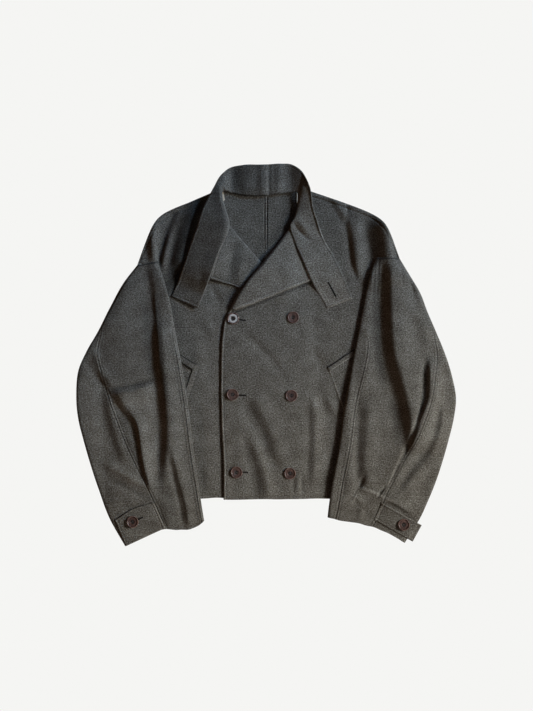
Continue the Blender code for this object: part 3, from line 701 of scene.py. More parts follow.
# %% Back panels
BACK_CORNER = {"left": (211.5, 246.6), "right": (-197.1, 250.2)}
BACK = {                        # a row: its two points, and how far it bends over the shoulder
    "left": [
        (0, -257.4, 232.2, -257.4, 0),
        (0, -120, 238.5, -120, 0),
        (0, -18.9, 241.2, -18.9, 0),
        (0, 44.1, 245, 29.7, 0),
        (0, 98.1, 262.8, 76.5, 0),
        (0, 152.1, 255.6, 119.7, 0.03),
        (0, 215.1, 238.8, 160, 0.12),
        (0, 300, 233, 169, 0.45),
        (61.2, 299.8, 239.4, 171, 1),
    ],
    "right": [
        (0, -257.4, -235.8, -257.4, 0),
        (0, -120, -242, -120, 0),
        (0, -18.9, -244.8, -18.9, 0),
        (0, 44.1, -247, 29.7, 0),
        (0, 98.1, -259.2, 76.5, 0),
        (0, 152.1, -250.2, 119.7, 0.03),
        (0, 215.1, -233, 150, 0.12),
        (0, 300, -227.5, 158.5, 0.45),
        (-90, 295, -230.4, 160.2, 1),
    ],
}
BACK_CELL = 4 * MM
BACK_SEAM = (0.0, 0.3, 0.6, 0.9, 1.2, 1.5, 1.8, 2.1, 2.4, 2.7, 3.0, 3.4, 3.8, 4.4, 5.4, 7.4)
# place and spread of the groove on each side of the seam
BACK_GROOVE = {"right": (2.6 * MM, 1.1 * MM), "left": (2.2 * MM, 0.9 * MM)}
GROOVE_DEPTH = 1.6 * MM
# Painted shade: a soft dark stroke inside the neck on the left half, where the collar's shadow falls.
BACK_PAINTED_SHADE_STROKES = {
    "left": [(-0.35, 10, 18, [(50, 320), (50, 275), (44, 245), (28, 214), (4, 178)])],
    "right": [],
}
NECK_MIDDLE = (-0.008, 0.240)
NECK_SPREAD = 0.062
NECK_RISE = 1.9 * MM
NECK_RIPPLE = 0.5 * MM
NECK_HUMP = 24 * MM
BACK_SEED = 3


def lay_back(side):
    """Half of the back, with a flat groove beside the seam where it rises inside the neck."""
    rows = stations(BACK[side], BACK_CELL, straight=True)[0]
    share = columns(widths(rows), BACK_CELL, near=BACK_SEAM)
    plan = shouldered(rows, share, BACK_CORNER[side])
    plan[..., 0] += (BUTTED / 2 if side == "left" else -BUTTED / 2) * (1 - share)
    x = plan[..., 0]
    y = plan[..., 1]
    in_neck = np.exp(-((x - NECK_MIDDLE[0]) ** 2 + (y - NECK_MIDDLE[1]) ** 2) / NECK_SPREAD ** 2)
    rise = NECK_RISE * in_neck + NECK_RIPPLE * in_neck * ripple(x, y, NECK_HUMP, BACK_SEED)
    place, spread = BACK_GROOVE[side]
    groove = GROOVE_DEPTH * in_neck * np.exp(-((np.abs(x) - place) / spread) ** 4)
    points = np.dstack([x, y, WALL + np.maximum(rise - groove, 0)])
    cloth_sheet("back_" + side + "_cloth", points, WALL, plan, WOOL, painted_shading=strokes(x, y, BACK_PAINTED_SHADE_STROKES[side]))
    heap.lay(points)


for side in ("left", "right"):
    lay_back(side)
print("back panels:", list(sheets))

# %% [markdown]
# A woven cotton tape covers the back neck seam. The collar hides all of it but its two ends, which show
# as pale slivers about 3 mm wide, so only those are laid.

# %% Neck tape
NECK_TAPE = {
    "right": [(-80.5, 296, -77.5, 295), (-77, 276, -74, 279)],
    "left": [(55.8, 294.5, 58.8, 294.5), (55.0, 273, 58.6, 273)],
}
TAPE_CELL = 1.5 * MM
for side, table in NECK_TAPE.items():
    rows = stations(table, TAPE_CELL, straight=True)[0]
    plan = ruled(rows, columns(widths(rows), TAPE_CELL))
    top = heap.bed(plan[..., 0], plan[..., 1], PILE_CELL, PILE_CELL) + TRIM
    points = np.dstack([plan, top])
    cloth_sheet("neck_tape_" + side + "_band", points, TRIM, plan, TAPE)
    heap.lay(points)
print("tape ends laid:", len(NECK_TAPE))

# %% [markdown]
# ## Fronts and lapels
# The left front lies over the right one. Long folds run from the shoulders to the armholes, and a few soft
# ones lie across the lower fronts. Hems, shoulders and the left front's opening are topstitched. A painted
# highlight runs along an opening. Air lifts the cloth, but hardly at that edge.

# %% Front tables
FRONT_CORNER = {"left": (214.2, 249.3), "right": (-199.8, 252.9)}
FRONT = {                       # a row: its two points, and how far it bends over the shoulder
    "left": [
        (-76.5, -262.2, 234, -258.8, 0),
        (-76.5, -198.9, 237.6, -180.9, 0),
        (-80.1, -126.9, 241.2, -90.9, 0),
        (-81.4, -45.9, 243, -18.9, 0),
        (-79.2, 26.1, 241.2, 29.7, 0),
        (-70, 72, 219.6, 76.5, 0),
        (-37.2, 116.1, 203.4, 119.7, 0),
        (-0.2, 162.9, 198.9, 162, 0.06),
        (44, 220.5, 219.6, 171.6, 0.36),
        (66.6, 298.8, 241.2, 171.2, 1),
    ],
    "right": [
        (66.6, -257.4, -237.6, -260.6, 0),
        (66.6, -180.9, -241.2, -180.9, 0),
        (66.6, -90.9, -244.8, -90.9, 0),
        (66.6, -9.9, -246.6, -18.9, 0),
        (60, 44.1, -244.8, 29.7, 0),
        (47, 76.5, -223.2, 76.5, 0),
        (19, 119.7, -205.2, 119.7, 0),
        (-14.2, 162, -195.3, 160, 0.06),
        (-69, 226, -216, 161.8, 0.36),
        (-93.6, 289.8, -232.2, 160.2, 1),
    ],
}
FRONT_FOLDS = {
    "left": [
        (3.8, 12, 9, [(86, -60), (90, -120), (90, -170), (86, -245)]),
        (-1.6, 7, 8, [(74, -80), (76, -150), (73, -240)]),
        (-2.6, 12, 13, [(-48, -66), (-33, -96), (-9, -145), (4, -185), (36, -202)]),
        (3.0, 14, 12, [(-28, -62), (-10, -96), (13, -142), (26, -182), (50, -192)]),
        (-2.6, 9, 11, [(-50, -140), (-34, -175), (-24, -205), (-19, -240), (-20, -274)]),
        (3.4, 12, 10, [(-30, -138), (-13, -175), (-3, -205), (4, -240), (5, -274)]),
        (1.5, 12, 12, [(-52, -91), (-48, -154), (-44, -208)]),
        (-1.6, 7, 7, [(-46, 46), (0, 0), (44, -56)]),
        (-1.6, 7, 7, [(76, 16), (96, -14), (112, -50)]),
        (1.4, 9, 9, [(92, 20), (108, -8)]),
        (-1.8, 7, 7, [(84, -66), (104, -98), (122, -126)]),
        (2.0, 8, 6, [(100, -60), (118, -92), (132, -116)]),
        (-1.6, 4, 5, [(50, -205), (49, -235), (50, -262)]),
        (1.4, 4, 4, [(58, -205), (58, -235), (58, -262)]),
        (-1.4, 4, 5, [(66, -205), (65, -235), (66, -262)]),
        (2.0, 4, 8, [(82, -196), (94, -193), (110, -178)]),
        (-2.8, 5, 7, [(100, 292), (119, 268), (133, 248), (145, 228), (151, 190), (155, 160), (167, 126)]),
        (2.6, 9, 6, [(112, 292), (128, 270), (140, 250), (153, 230), (159, 192), (164, 160), (176, 126)]),
        (-2.6, 3.5, 4, [(142, 296), (147, 266), (146, 240), (142, 212)]),
        (4.0, 10, 9, [(162, 262), (166, 214), (170, 150)]),
        (-2.8, 8, 14, [(172, 246), (181, 214), (187, 190), (197, 148)]),
        (16.0, 8, 20, [(206, 262), (214, 236), (220, 210), (223, 182), (229, 140)]),
    ],
    "right": [
        (-3.2, 5, 7, [(-158, 268), (-170, 246), (-181, 218), (-192, 176), (-196, 150)]),
        (4.5, 8, 5, [(-150, 266), (-162, 240), (-172, 214), (-183, 172), (-186, 140)]),
        (-2.0, 6, 8, [(-152, 262), (-162, 230), (-170, 190), (-178, 140)]),
        (8.5, 12, 16, [(-122, 280), (-137, 236), (-148, 192), (-160, 140)]),
        (7.0, 5, 9, [(-190, 250), (-200, 226), (-203, 200), (-198, 150)]),
        (1.5, 14, 14, [(-110, -82), (-104, -172), (-101, -250)]),
        (-1.6, 8, 10, [(-124, -190), (-118, -225), (-116, -262)]),
        (1.5, 14, 14, [(-126, 44), (-119, -46), (-113, -118)]),
        (1.8, 10, 10, [(-118, 70), (-100, 44), (-92, 10)]),
        (-2.0, 6, 6, [(-100, 128), (-90, 106), (-76, 84)]),
    ],
}
# Painted light and shade on the fronts: pale and dark strokes over the lower folds, a painted shadow under
# the left lapel's lower edge, the collar's painted shadow on the right front's shoulder and painted shade on
# the left front's shoulder.
FRONT_PAINTED_SHADING = {
    "left": [
        (-0.5, 2.2, 2.4, [(-92, 62), (-58, 74.5), (-25, 87.5), (12, 102), (48, 116.5), (84, 131),
                          (106, 140)]),
        (0.14, 16, 12, [(96, -56), (96, -130), (95, -196)]),
        (0.16, 12, 12, [(-64, -78), (-63, -150), (-62, -285)]),
        (0.14, 11, 11, [(-22, -158), (-2, -205), (10, -245), (14, -290)]),
        (-0.16, 9, 9, [(-30, -76), (-14, -126), (4, -168), (28, -202)]),
        (-0.16, 8, 8, [(-38, -158), (-25, -205), (-16, -250), (-15, -290)]),
        (-0.14, 16, 16, [(112, 272), (128, 225), (140, 180), (146, 150)]),
        (-0.35, 10, 12, [(186, 268), (194, 225), (199, 190), (203, 158)]),
    ],
    "right": [
        (-0.65, 16, 17, [(-106, 306), (-130, 262), (-145, 220), (-156, 180), (-170, 124), (-177, 96)]),
        (-0.2, 12, 12, [(-174, 116), (-160, 60), (-146, -8)]),
    ],
}
print("folds in the fronts:", {side: len(rows) for side, rows in FRONT_FOLDS.items()})

# %% Front panels
HEM_WAVE = 1.6 * MM
HEM_REACH = 24 * MM
HEM_HUMP = 26 * MM
AIR_REACH = 34 * MM
FRONT_AIR = 2.0 * MM
AIR_AT_EDGE = 0.15
FRONT_HUMPS = ((0.5, 46, 0), (0.22, 17, 20))
FRONT_SEED = {"left": 11, "right": 12}
OPENING_EDGE = (1.0 * MM, 0.4 * MM, 0.7 * MM)       # fall, dent and puff of a sewn edge
HEM_EDGE = (0.9 * MM, 0.4 * MM)
SHOULDER_EDGE = (0.6 * MM, 1.1 * MM, 0.6 * MM)
# A painted highlight along the opening.
OPENING_PAINTED_HIGHLIGHT = (3.0 * MM, 0.35)                     # how far in, and by which share
OPENING_SEWN = 0.33                                 # up from the hem


def lay_front(side):
    """A front, from its hem to its shoulder, on what was laid before."""
    rows, along = stations(FRONT[side], ends=(SEWN_EDGE, SEWN_EDGE))
    width = widths(rows)
    share = columns(width, near=SEWN_EDGE)
    plan = shouldered(rows, share, FRONT_CORNER[side])
    x = plan[..., 0]
    at_hem = 1 - smooth_step(along / HEM_REACH)[:, None]
    plan[..., 1] += HEM_WAVE * at_hem * ripple(x, 0 * x, HEM_HUMP, FRONT_SEED[side])
    y = plan[..., 1]
    inward = np.clip(share * width / AIR_REACH, 0, 1)
    air = FRONT_AIR * (AIR_AT_EDGE + (1 - AIR_AT_EDGE) * inward)
    uneven = unevenness(x, y, FRONT_HUMPS, FRONT_SEED[side])
    lift = np.maximum(air + fold_relief(x, y, FRONT_FOLDS[side]) + uneven, 0)
    edge = edge_relief(share * width, *OPENING_EDGE)
    edge += edge_relief(along[:, None], *HEM_EDGE)
    edge += edge_relief(along[-1] - along[:, None], *SHOULDER_EDGE)
    points = np.dstack([x, y, heap.bed(x, y) + lift + WALL + edge])
    painted_shading = strokes(x, y, FRONT_PAINTED_SHADING[side]) + painted_edge_band(share * width, *OPENING_PAINTED_HIGHLIGHT)
    cloth_sheet("front_" + side + "_cloth", points, WALL, plan, WOOL, painted_shading=painted_shading)
    heap.lay(points)
    sew(points[-1 - SEWN_AT, SEWN_AT:])
    sew(points[SEWN_AT, SEWN_AT:])
    if side == "left":
        sew(points[along < OPENING_SEWN, SEWN_AT])


# %% [markdown]
# A lapel is the top of its front, turned out along the roll line, so its facing shows. At the roll it
# comes down to what lies under the front. The left lapel faces the window, so light is painted on it: it is
# paler all over, with a painted highlight along its outer edge. Its outer edge has two pale rows of stitches.

# %% Lapels
LAPEL = {                       # a row: its two points, lift of the outer edge, fullness at the roll
    "right": [
        (-64.8, 233.1, -71.1, 213.3, 4, 0),
        (-50.4, 214.2, -84.6, 188.1, 11, 0),
        (-33.3, 194.6, -95.4, 161.1, 12, 0),
        (-19.8, 179.1, -101.7, 135.9, 6, 0),
        (-7.2, 164.7, -86.4, 131.4, 1.5, 0),
        (10.8, 139.5, -61.2, 124.2, 0, 0),
        (30.6, 112.5, -25.2, 113.2, 0, 0),
    ],
    "left": [
        (43.2, 229.5, 51, 222.3, 0, 0.5),
        (25.2, 204.3, 63, 191.7, 0, 1.5),
        (7.2, 181.8, 73.5, 164.7, 0, 2),
        (-9, 161.1, 81.9, 133.6, 0, 2.5),
        (-25.2, 142.2, 46.8, 119.7, 0, 1.8),
        (-39.6, 123.3, 10.8, 104.9, 0, 0.9),
        (-54, 102.6, -25.2, 90.4, 0, 0),
        (-63.9, 85.5, -54, 80.6, 0, 0),
    ],
}
LAPEL_FOLDS = {
    "right": [
        (-2.6, 8, 8, [(-48, 214), (-62, 176), (-70, 120)]),
        (3.0, 12, 9, [(-30, 194), (-44, 160), (-50, 110)]),
    ],
    "left": [
        (-1.0, 6, 6, [(20, 190), (40, 160), (50, 132)]),
        (1.2, 10, 10, [(0, 168), (14, 136)]),
    ],
}
ROLL = 6.0 * MM
ROLL_EDGE = (0.0, 0.3, 0.9, 1.8, 3.0, 4.4, 6.0)
LAPEL_SLANT = 1.5               # rows cross the outer edge at a slant
LAPEL_EDGE = [LAPEL_SLANT * place for place in SEWN_EDGE]
LAPEL_TURN = (1.4 * MM, 0.7 * MM, 0.8 * MM)
LAPEL_EDGE_PAINTED_HIGHLIGHT = (3.6 * MM, 0.5)
LAPEL_RIPPLE = 0.35 * MM
LAPEL_HUMP = 20 * MM
LAPEL_SEED = {"left": 31, "right": 32}
LAPEL_CELL = 2.2 * MM
FULLNESS_FADES = 1.2            # from the roll outwards
LIFT_GROWS = 1.5                # towards the outer edge
WINDOW_SIDE_PAINTED_LIGHT = 0.26


def lay_lapel(side, under):
    """A lapel on its front; `under` is the pile as it was before that front."""
    rows = stations(LAPEL[side], LAPEL_CELL, straight=True)[0]
    width = widths(rows)
    share = columns(width, LAPEL_CELL, near=ROLL_EDGE, far=LAPEL_EDGE)
    plan = ruled(rows, share)
    x = plan[..., 0]
    y = plan[..., 1]
    bed = heap.bed(x, y)
    full = rows[:, 5:6] * MM * (1 - share) ** FULLNESS_FADES
    drop = np.maximum(bed - under.bed(x, y), 0) + full
    dip = turn_under(share * width, ROLL) * drop - full
    rolled = np.clip(share * width / ROLL, 0, 1)
    soft = LAPEL_RIPPLE * (1 + ripple(x, y, LAPEL_HUMP, LAPEL_SEED[side])) * rolled
    soft += rows[:, 4:5] * MM * share ** LIFT_GROWS + fold_relief(x, y, LAPEL_FOLDS[side]) * rolled
    gap = (1 - share) * width / LAPEL_SLANT
    z = bed - dip + np.maximum(soft, 0) + DOUBLED + edge_relief(gap, *LAPEL_TURN)
    points = np.dstack([x, y, z])
    # Painted light: the left lapel faces the window, so it is painted paler, with a painted highlight along
    # its edge.
    painted_shading = WINDOW_SIDE_PAINTED_LIGHT + painted_edge_band(gap, *LAPEL_EDGE_PAINTED_HIGHLIGHT) if side == "left" else 0.0
    cloth_sheet("lapel_" + side + "_cloth", points, DOUBLED, plan, WOOL, painted_shading=painted_shading)
    heap.lay(points)
    if side == "left":
        sew(points[:, -1 - EDGE_SEWN_AT], "pale")
    sew(points[:, -1 - SEWN_AT], "pale" if side == "left" else "dark")


for side in ("right", "left"):
    before = heap.copy()
    lay_front(side)
    lay_lapel(side, before)
print("fronts and lapels laid; pile is now", round(heap.top.max() / MM, 1), "mm high")

# %% [markdown]
# ## Pockets
# Each front has a slanted welt pocket. Most of it lies under the sleeve: what shows is the end of the
# welt and one edge of the patch behind it. Beside the welt, painted shade and a row of black thread stand
# for the shadow in the pocket's mouth, and painted highlights pale the lit edges of the left patch and welt.

# %% Pocket patches and welts
POCKET = {                      # a row: its two points
    "right": [
        (-190.8, 15.3, -121, -22.0),
        (-190.8, -27.9, -123.5, -30.0),
        (-190.8, -72.9, -138, -71.1),
        (-190.8, -114.3, -153, -114.3),
    ],
    "left": [
        (190.8, 27.9, 111.6, -25.2),
        (190.8, -18.9, 117, -38.7),
        (190.8, -72.9, 129.6, -72.9),
        (190.8, -117.9, 145.8, -117.9),
    ],
}
WELT = {
    "right": [(-124.2, -18, -128.7, -29.7), (-190.8, 22.5, -190.8, 9.9)],
    "left": [(109.8, -23.4, 115.2, -30.6), (190.8, 31.5, 190.8, 20.7)],
}
TRIM_BRIDGE = 9 * MM
TRIM_SOFTEN = 6 * MM
TRIM_FALL = 0.8                 # of the wall, at the second edge and the start
FIRST_FALL = 0.7                # of the wall, at the first edge
PAINTED_BAND_IN = 1.6 * MM
FIRST_PAINTED_BAND_IN = 1.4 * MM
PATCH_MARGIN = 9.0 * MM
PATCH_STEP = 1.1 * MM
PATCH_EDGE = (0.0, 0.5, 1.2, 2.4, 4.0, 6.0, 8.0, 8.6, 9.0, 9.4, 9.8, 10.2, 10.8, 12.0)
PATCH_WALL = {"right": 0.6 * MM, "left": 0.4 * MM}
PATCH_BEAD = 1.5 * MM
# Painted light and shade: highlights along the lit edges of the left patch and welt, shade along each welt's
# mouth.
PATCH_EDGE_PAINTED_HIGHLIGHT = 0.7
WELT_CELL = 1.2 * MM
WELT_EDGE_PAINTED_HIGHLIGHT = {"right": 0.0, "left": 0.5}
WELT_MOUTH_PAINTED_SHADE = -0.85
WELT_SEWN_AT = PLAIN_EDGE.index(0.5)


def lay_trim(name, table, spacing, far, wall=TRIM, bead=0.0, shading_paint=0.0, first_shading_paint=0.0):
    """A flat trim. A bead along its second edge rises slowly from outside and ends in a step."""
    rows, along = stations(table, spacing, straight=True)
    width = widths(rows)
    share = columns(width, spacing, far=far)
    plan = ruled(rows, share)
    bed = heap.bed(plan[..., 0], plan[..., 1], TRIM_BRIDGE, TRIM_SOFTEN)
    gap = (1 - share) * width
    edge = edge_relief(gap, TRIM_FALL * wall) + edge_relief(share * width, FIRST_FALL * wall)
    edge += edge_relief(along[:, None], TRIM_FALL * wall)
    step = 1 - smooth_step((gap - PATCH_MARGIN) / PATCH_STEP)
    rise = np.where(gap < PATCH_MARGIN, gap / PATCH_MARGIN, step)
    points = np.dstack([plan, bed - EASE + wall + np.maximum(edge, -TRIM_FALL * wall) + bead * rise])
    painted_shading = painted_edge_band(gap, PAINTED_BAND_IN, shading_paint) + painted_edge_band(share * width, FIRST_PAINTED_BAND_IN, first_shading_paint)
    cloth_sheet(name, points, wall, plan, WOOL, painted_shading=painted_shading)
    heap.lay(points)
    return points


lay_trim("pocket_right_patch", POCKET["right"], CELL, PATCH_EDGE, wall=PATCH_WALL["right"], bead=PATCH_BEAD)
patch = lay_trim("pocket_left_patch", POCKET["left"], CELL, SEWN_EDGE,
                 wall=PATCH_WALL["left"], shading_paint=PATCH_EDGE_PAINTED_HIGHLIGHT)
sew(patch[:, -1 - EDGE_SEWN_AT], "pale")
for side in ("right", "left"):
    welt = lay_trim("pocket_" + side + "_welt_band", WELT[side], WELT_CELL, PLAIN_EDGE,
                    shading_paint=WELT_EDGE_PAINTED_HIGHLIGHT[side], first_shading_paint=WELT_MOUTH_PAINTED_SHADE)
    # Black thread along the welt stands for the shadow in the pocket's mouth.
    sew(welt[:, WELT_SEWN_AT], "black")
    sew(welt[:, -1 - WELT_SEWN_AT], "black" if side == "right" else "pale")
print("pockets laid; sheets so far:", len(sheets))

# %% [markdown]
# ## Collar
# The collar is one wide doubled band round the neck, opened out. At the back it lies on the table. At the
# sides it rolls outwards: it stands up at the neck and slopes down to its free edge, so that one side
# faces the window and the other faces away. Its free edge and both ends are topstitched.

# %% Collar tables
COLLAR = [                      # a row: its two points, lift at the neck and at the free edge, roll
    (-122.4, 82.8, -171, 104.4, 4, 0.5, 0),
    (-111.6, 108.9, -161.1, 125.1, 7, 1, 0),
    (-100.8, 135.9, -152.1, 148.5, 9, 2, 0),
    (-81, 189.9, -133.2, 204.3, 11, 6, 0.1),
    (-70.2, 212.4, -123.3, 231.3, 16.6, 9, 0.5),
    (-65.7, 238.5, -113.4, 261.9, 22.4, 11, 1),
    (-73, 263.7, -103.5, 282.6, 22.4, 11, 1),
    (-78, 283.5, -94, 300.6, 18, 10, 1),
    (-76, 294.5, -82.3, 321.3, 7, 8, 1),
    (-61.2, 290.7, -66.6, 335.7, 2, 4, 0),
    (-37.8, 286.2, -41.4, 341.5, 2, 3, 0),
    (-7.2, 285.3, -7.2, 342, 2, 3, 0),
    (25.2, 288.9, 27, 343.8, 2, 3, 0),
    (46.8, 291.1, 45.9, 342.4, 2, 7, 0),
    (55.8, 290.7, 63, 331.2, 2, 13, 0),
    (57.6, 278.1, 72.9, 315, 2.4, 15, 0.3),
    (55.8, 263.7, 80.1, 296.1, 2.6, 12, 0.4),
    (50.4, 245.7, 84.6, 267.3, 2.4, 8, 0.3),
    (43.2, 231.3, 93.6, 237.6, 0, 3, 0.2),
    (54, 197.1, 107.1, 202.5, -2.2, 0.5, 0),
    (66.6, 168.3, 122.4, 177.3, -2.4, 0.3, 0),
    (81, 134.1, 136.8, 148.5, -2.2, 0.2, 0),
    (109.8, 82.8, 155.7, 100.8, -0.6, 0.4, 0),
]
COLLAR_FOLDS = [
    (5.0, 4.5, 14, [(-92, 345), (-77, 322), (-75, 302), (-80, 276)]),
    (-3.0, 10, 6, [(-58, 360), (-62, 318), (-64, 280)]),
    (5.0, 16, 26, [(-32, 270), (-30, 315), (-26, 370)]),
    (4.0, 8, 16, [(-4, 270), (-6, 315), (-6, 370)]),
    (-3.0, 4, 3, [(5, 270), (5, 315), (4, 370)]),
    (4.0, 9, 9, [(22, 270), (23, 315), (24, 370)]),
    (-1.5, 9, 9, [(46, 270), (44, 315), (40, 370)]),
    (2.6, 3, 3.2, [(66, 334), (76, 312), (82, 290), (86, 266), (94, 236), (106, 200)]),
    (-2.6, 4, 3.5, [(44, 244), (56, 226), (70, 212), (88, 200)]),
    (2.4, 7, 6, [(52, 250), (66, 232), (84, 216)]),
    (1.2, 8, 8, [(62, 196), (80, 180), (100, 172)]),
    (-1.0, 6, 6, [(88, 150), (98, 124), (106, 98)]),
    (-1.6, 8, 8, [(-108, 158), (-116, 138), (-122, 116)]),
]
print("collar:", len(COLLAR), "sections and", len(COLLAR_FOLDS), "folds")

# %% Collar band
NECK_ROLL = 9.0 * MM
NECK_EDGE = (0.0, 0.4, 1.2, 2.4, 4.0, 6.0, 9.0)
GORGE_SEWN = (NECK_EDGE.index(4.0), NECK_EDGE.index(9.0))
GORGE_BELOW = 150 * MM
COLLAR_CELL = 2.2 * MM
COLLAR_BRIDGE = 5 * MM
COLLAR_RIPPLE = 0.35 * MM
COLLAR_HUMP = 22 * MM
COLLAR_SEED = 41
COLLAR_SINKS = 2.6 * MM
COLLAR_THINNEST = 0.5 * MM
FREE_EDGE = (1.8 * MM, 0.3 * MM, 0.2 * MM)
NECK_FALL = 1.6 * MM
RIGHT_END = (1.6 * MM, 0.5 * MM, 0.5 * MM)
LEFT_END = (1.4 * MM, 0.6 * MM, 0.9 * MM)
BESIDE_NECK = 60 * MM
SIDE_BELOW = 290 * MM
BACK_ABOVE = 280 * MM
# Painted light and shade on the collar: highlights along the right side's edges and shade over that side,
# shade lines at the left edge and the back neck seam, shade over the back, and light at the left end.
RIGHT_EDGE_PAINTED_HIGHLIGHTS = ((2.2 * MM, 0.35), (1.8 * MM, 0.35))   # at the free edge, and at the neck
RIGHT_SIDE_PAINTED_SHADE = -0.2
LEFT_EDGE_PAINTED_SHADE = (2.2 * MM, -0.4)
NECK_SEAM_PAINTED_SHADE = (1.8 * MM, -0.55)
COLLAR_BACK_PAINTED_SHADE = -0.14
END_EDGE_PAINTED_HIGHLIGHT = (3.0 * MM, 0.3)
END_PAINTED_LIGHT = 0.2
END_PAINTED_LIGHT_REACH = 60 * MM


def collar_painted_shading(x, y, from_neck, from_free, to_end):
    """Painted light and shade: highlights at the right side's edges and the left end, shade over the right
    side, at the left edge and round the back, and light over the window side.
    """
    neck_x = x[:, :1]
    neck_y = y[:, :1]
    on_right = (neck_x < -BESIDE_NECK) & (neck_y < SIDE_BELOW)
    at_back = (np.abs(neck_x) < BESIDE_NECK) & (neck_y > BACK_ABOVE)
    tone = painted_edge_band(to_end, *END_EDGE_PAINTED_HIGHLIGHT) + END_PAINTED_LIGHT * (1 - smooth_step(to_end / END_PAINTED_LIGHT_REACH))
    painted_tone = painted_edge_band(from_free, *RIGHT_EDGE_PAINTED_HIGHLIGHTS[0]) + painted_edge_band(from_neck, *RIGHT_EDGE_PAINTED_HIGHLIGHTS[1])
    tone = tone + on_right * (painted_tone + RIGHT_SIDE_PAINTED_SHADE)
    tone = tone + (neck_x > BESIDE_NECK) * painted_edge_band(from_free, *LEFT_EDGE_PAINTED_SHADE)
    tone = tone + at_back * (painted_edge_band(from_neck, *NECK_SEAM_PAINTED_SHADE) + COLLAR_BACK_PAINTED_SHADE)
    return tone + WINDOW_SIDE_PAINTED_LIGHT * (x > 0)


def lay_collar():
    """The band from its right end round the back of the neck to its left end."""
    rows, along = stations(COLLAR, COLLAR_CELL, ends=(SEWN_EDGE, SEWN_EDGE))
    width = widths(rows)
    share = columns(width, COLLAR_CELL, near=NECK_EDGE, far=SEWN_EDGE)
    plan = ruled(rows, share)
    x = plan[..., 0]
    y = plan[..., 1]
    from_neck = share * width
    from_free = (1 - share) * width
    to_end = along[-1] - along[:, None]
    roll = turn_under(from_neck, NECK_ROLL) * np.clip(rows[:, 6:7], 0, 1)
    lift = rows[:, 4:5] * MM * (1 - share) + rows[:, 5:6] * MM * share
    lift += fold_relief(x, y, COLLAR_FOLDS) + COLLAR_RIPPLE * ripple(x, y, COLLAR_HUMP, COLLAR_SEED)
    lift = np.maximum(lift * (1 - roll), -COLLAR_SINKS)
    edge = edge_relief(from_free, *FREE_EDGE) + edge_relief(from_neck, NECK_FALL)
    edge += edge_relief(along[:, None], *RIGHT_END)
    edge += edge_relief(to_end, *LEFT_END)
    rest = heap.bed(x, y)
    stiff = rest[:, :1] * (1 - share) + rest[:, -1:] * share
    bed = np.maximum(stiff, heap.bed(x, y, COLLAR_BRIDGE, COLLAR_BRIDGE)) - EASE
    points = np.dstack([x, y, bed + lift + DOUBLED + np.maximum(edge, COLLAR_THINNEST - DOUBLED)])
    grain = np.dstack([from_neck, along[:, None] + 0 * share])
    painted_shading = collar_painted_shading(x, y, from_neck, from_free, to_end + 0 * share)
    cloth_sheet("collar_cloth", points, DOUBLED, grain, WOOL, painted_shading=painted_shading)
    heap.lay(points)
    across = slice(len(NECK_EDGE), -1 - SEWN_AT)
    sew(points[SEWN_AT:-SEWN_AT, -1 - SEWN_AT])
    sew(points[SEWN_AT, across])
    sew(points[-1 - SEWN_AT, across], "pale")
    sew(points[-1 - EDGE_SEWN_AT, across], "pale")
    gorge = (x[:, 0] > BESIDE_NECK) & (y[:, 0] < GORGE_BELOW)
    for column in GORGE_SEWN:
        sew(points[gorge, column], "pale")


lay_collar()
print("collar laid; pile is now", round(heap.top.max() / MM, 1), "mm high")

# %% [markdown]
# ## Sleeves
# A two-piece sleeve is a flattened tube: the top sleeve lies between the back seam and the front seam,
# and the under sleeve goes round behind it. Near the shoulder only the top sleeve is there. The long
# folds run down from the armhole, and two of them fall over as flaps above the cuff.

# %% Sleeve tables
SLEEVE = {                      # a row: its two points, the shares where both seams lie, and the loft
    "right": [
        (-232.5, 160.6, -194.4, 168, 0, 1, 2.6),
        (-256.5, 129.6, -183.6, 134.1, 0, 1, 3.2),
        (-280.8, 85.5, -171.9, 90.9, 0, 1, 4.6),
        (-302.4, 42.3, -163.8, 44.1, 0.05, 0.955, 7),
        (-324, 4.5, -154.8, -0.9, 0.12, 0.96, 7),
        (-338.4, -29.7, -148.5, -38.7, 0.22, 0.965, 7),
        (-342, -76.5, -142.2, -78.3, 0.29, 0.965, 7),
        (-338.4, -116.1, -136.8, -117.9, 0.34, 0.965, 7),
        (-327.6, -159.3, -132.3, -157.5, 0.38, 0.965, 7),
        (-315, -202.5, -126.9, -197.1, 0.43, 0.965, 7),
        (-300.6, -245.7, -120.6, -238.5, 0.49, 0.965, 7),
        (-282, -295.2, -115.8, -270.9, 0.53, 0.965, 7),
        (-253.8, -345.6, -111.6, -298.8, 0.52, 0.965, 7),
    ],
    "left": [
        (240.2, 174, 198.9, 174, 0, 1, 2.6),
        (257.4, 145.8, 189, 148.5, 0, 1, 2.8),
        (277.2, 112.5, 181, 116.1, 0, 1, 3.6),
        (291.2, 76.5, 173.4, 76.5, 0, 1, 4.5),
        (307.4, 38.7, 165.5, 36.9, 0.05, 0.88, 5.5),
        (322.9, 0.9, 158.3, -0.9, 0.09, 0.86, 6),
        (334.2, -35.1, 151.3, -38.7, 0.16, 0.88, 6.5),
        (342.4, -78.3, 143.5, -78.3, 0.22, 0.9, 6.5),
        (338.6, -114.3, 137.5, -114.3, 0.255, 0.9, 6.5),
        (330.1, -150.3, 133.2, -153.9, 0.3, 0.9, 7),
        (319, -189.9, 126.9, -189.9, 0.36, 0.9, 7),
        (306, -229.5, 119.7, -225.9, 0.41, 0.9, 7),
        (290.5, -267.3, 114.3, -261.9, 0.45, 0.9, 7),
        (279, -292.5, 112.5, -276.3, 0.445, 0.9, 7),
        (250.2, -339.3, 110.7, -293.4, 0.435, 0.9, 7),
    ],
}
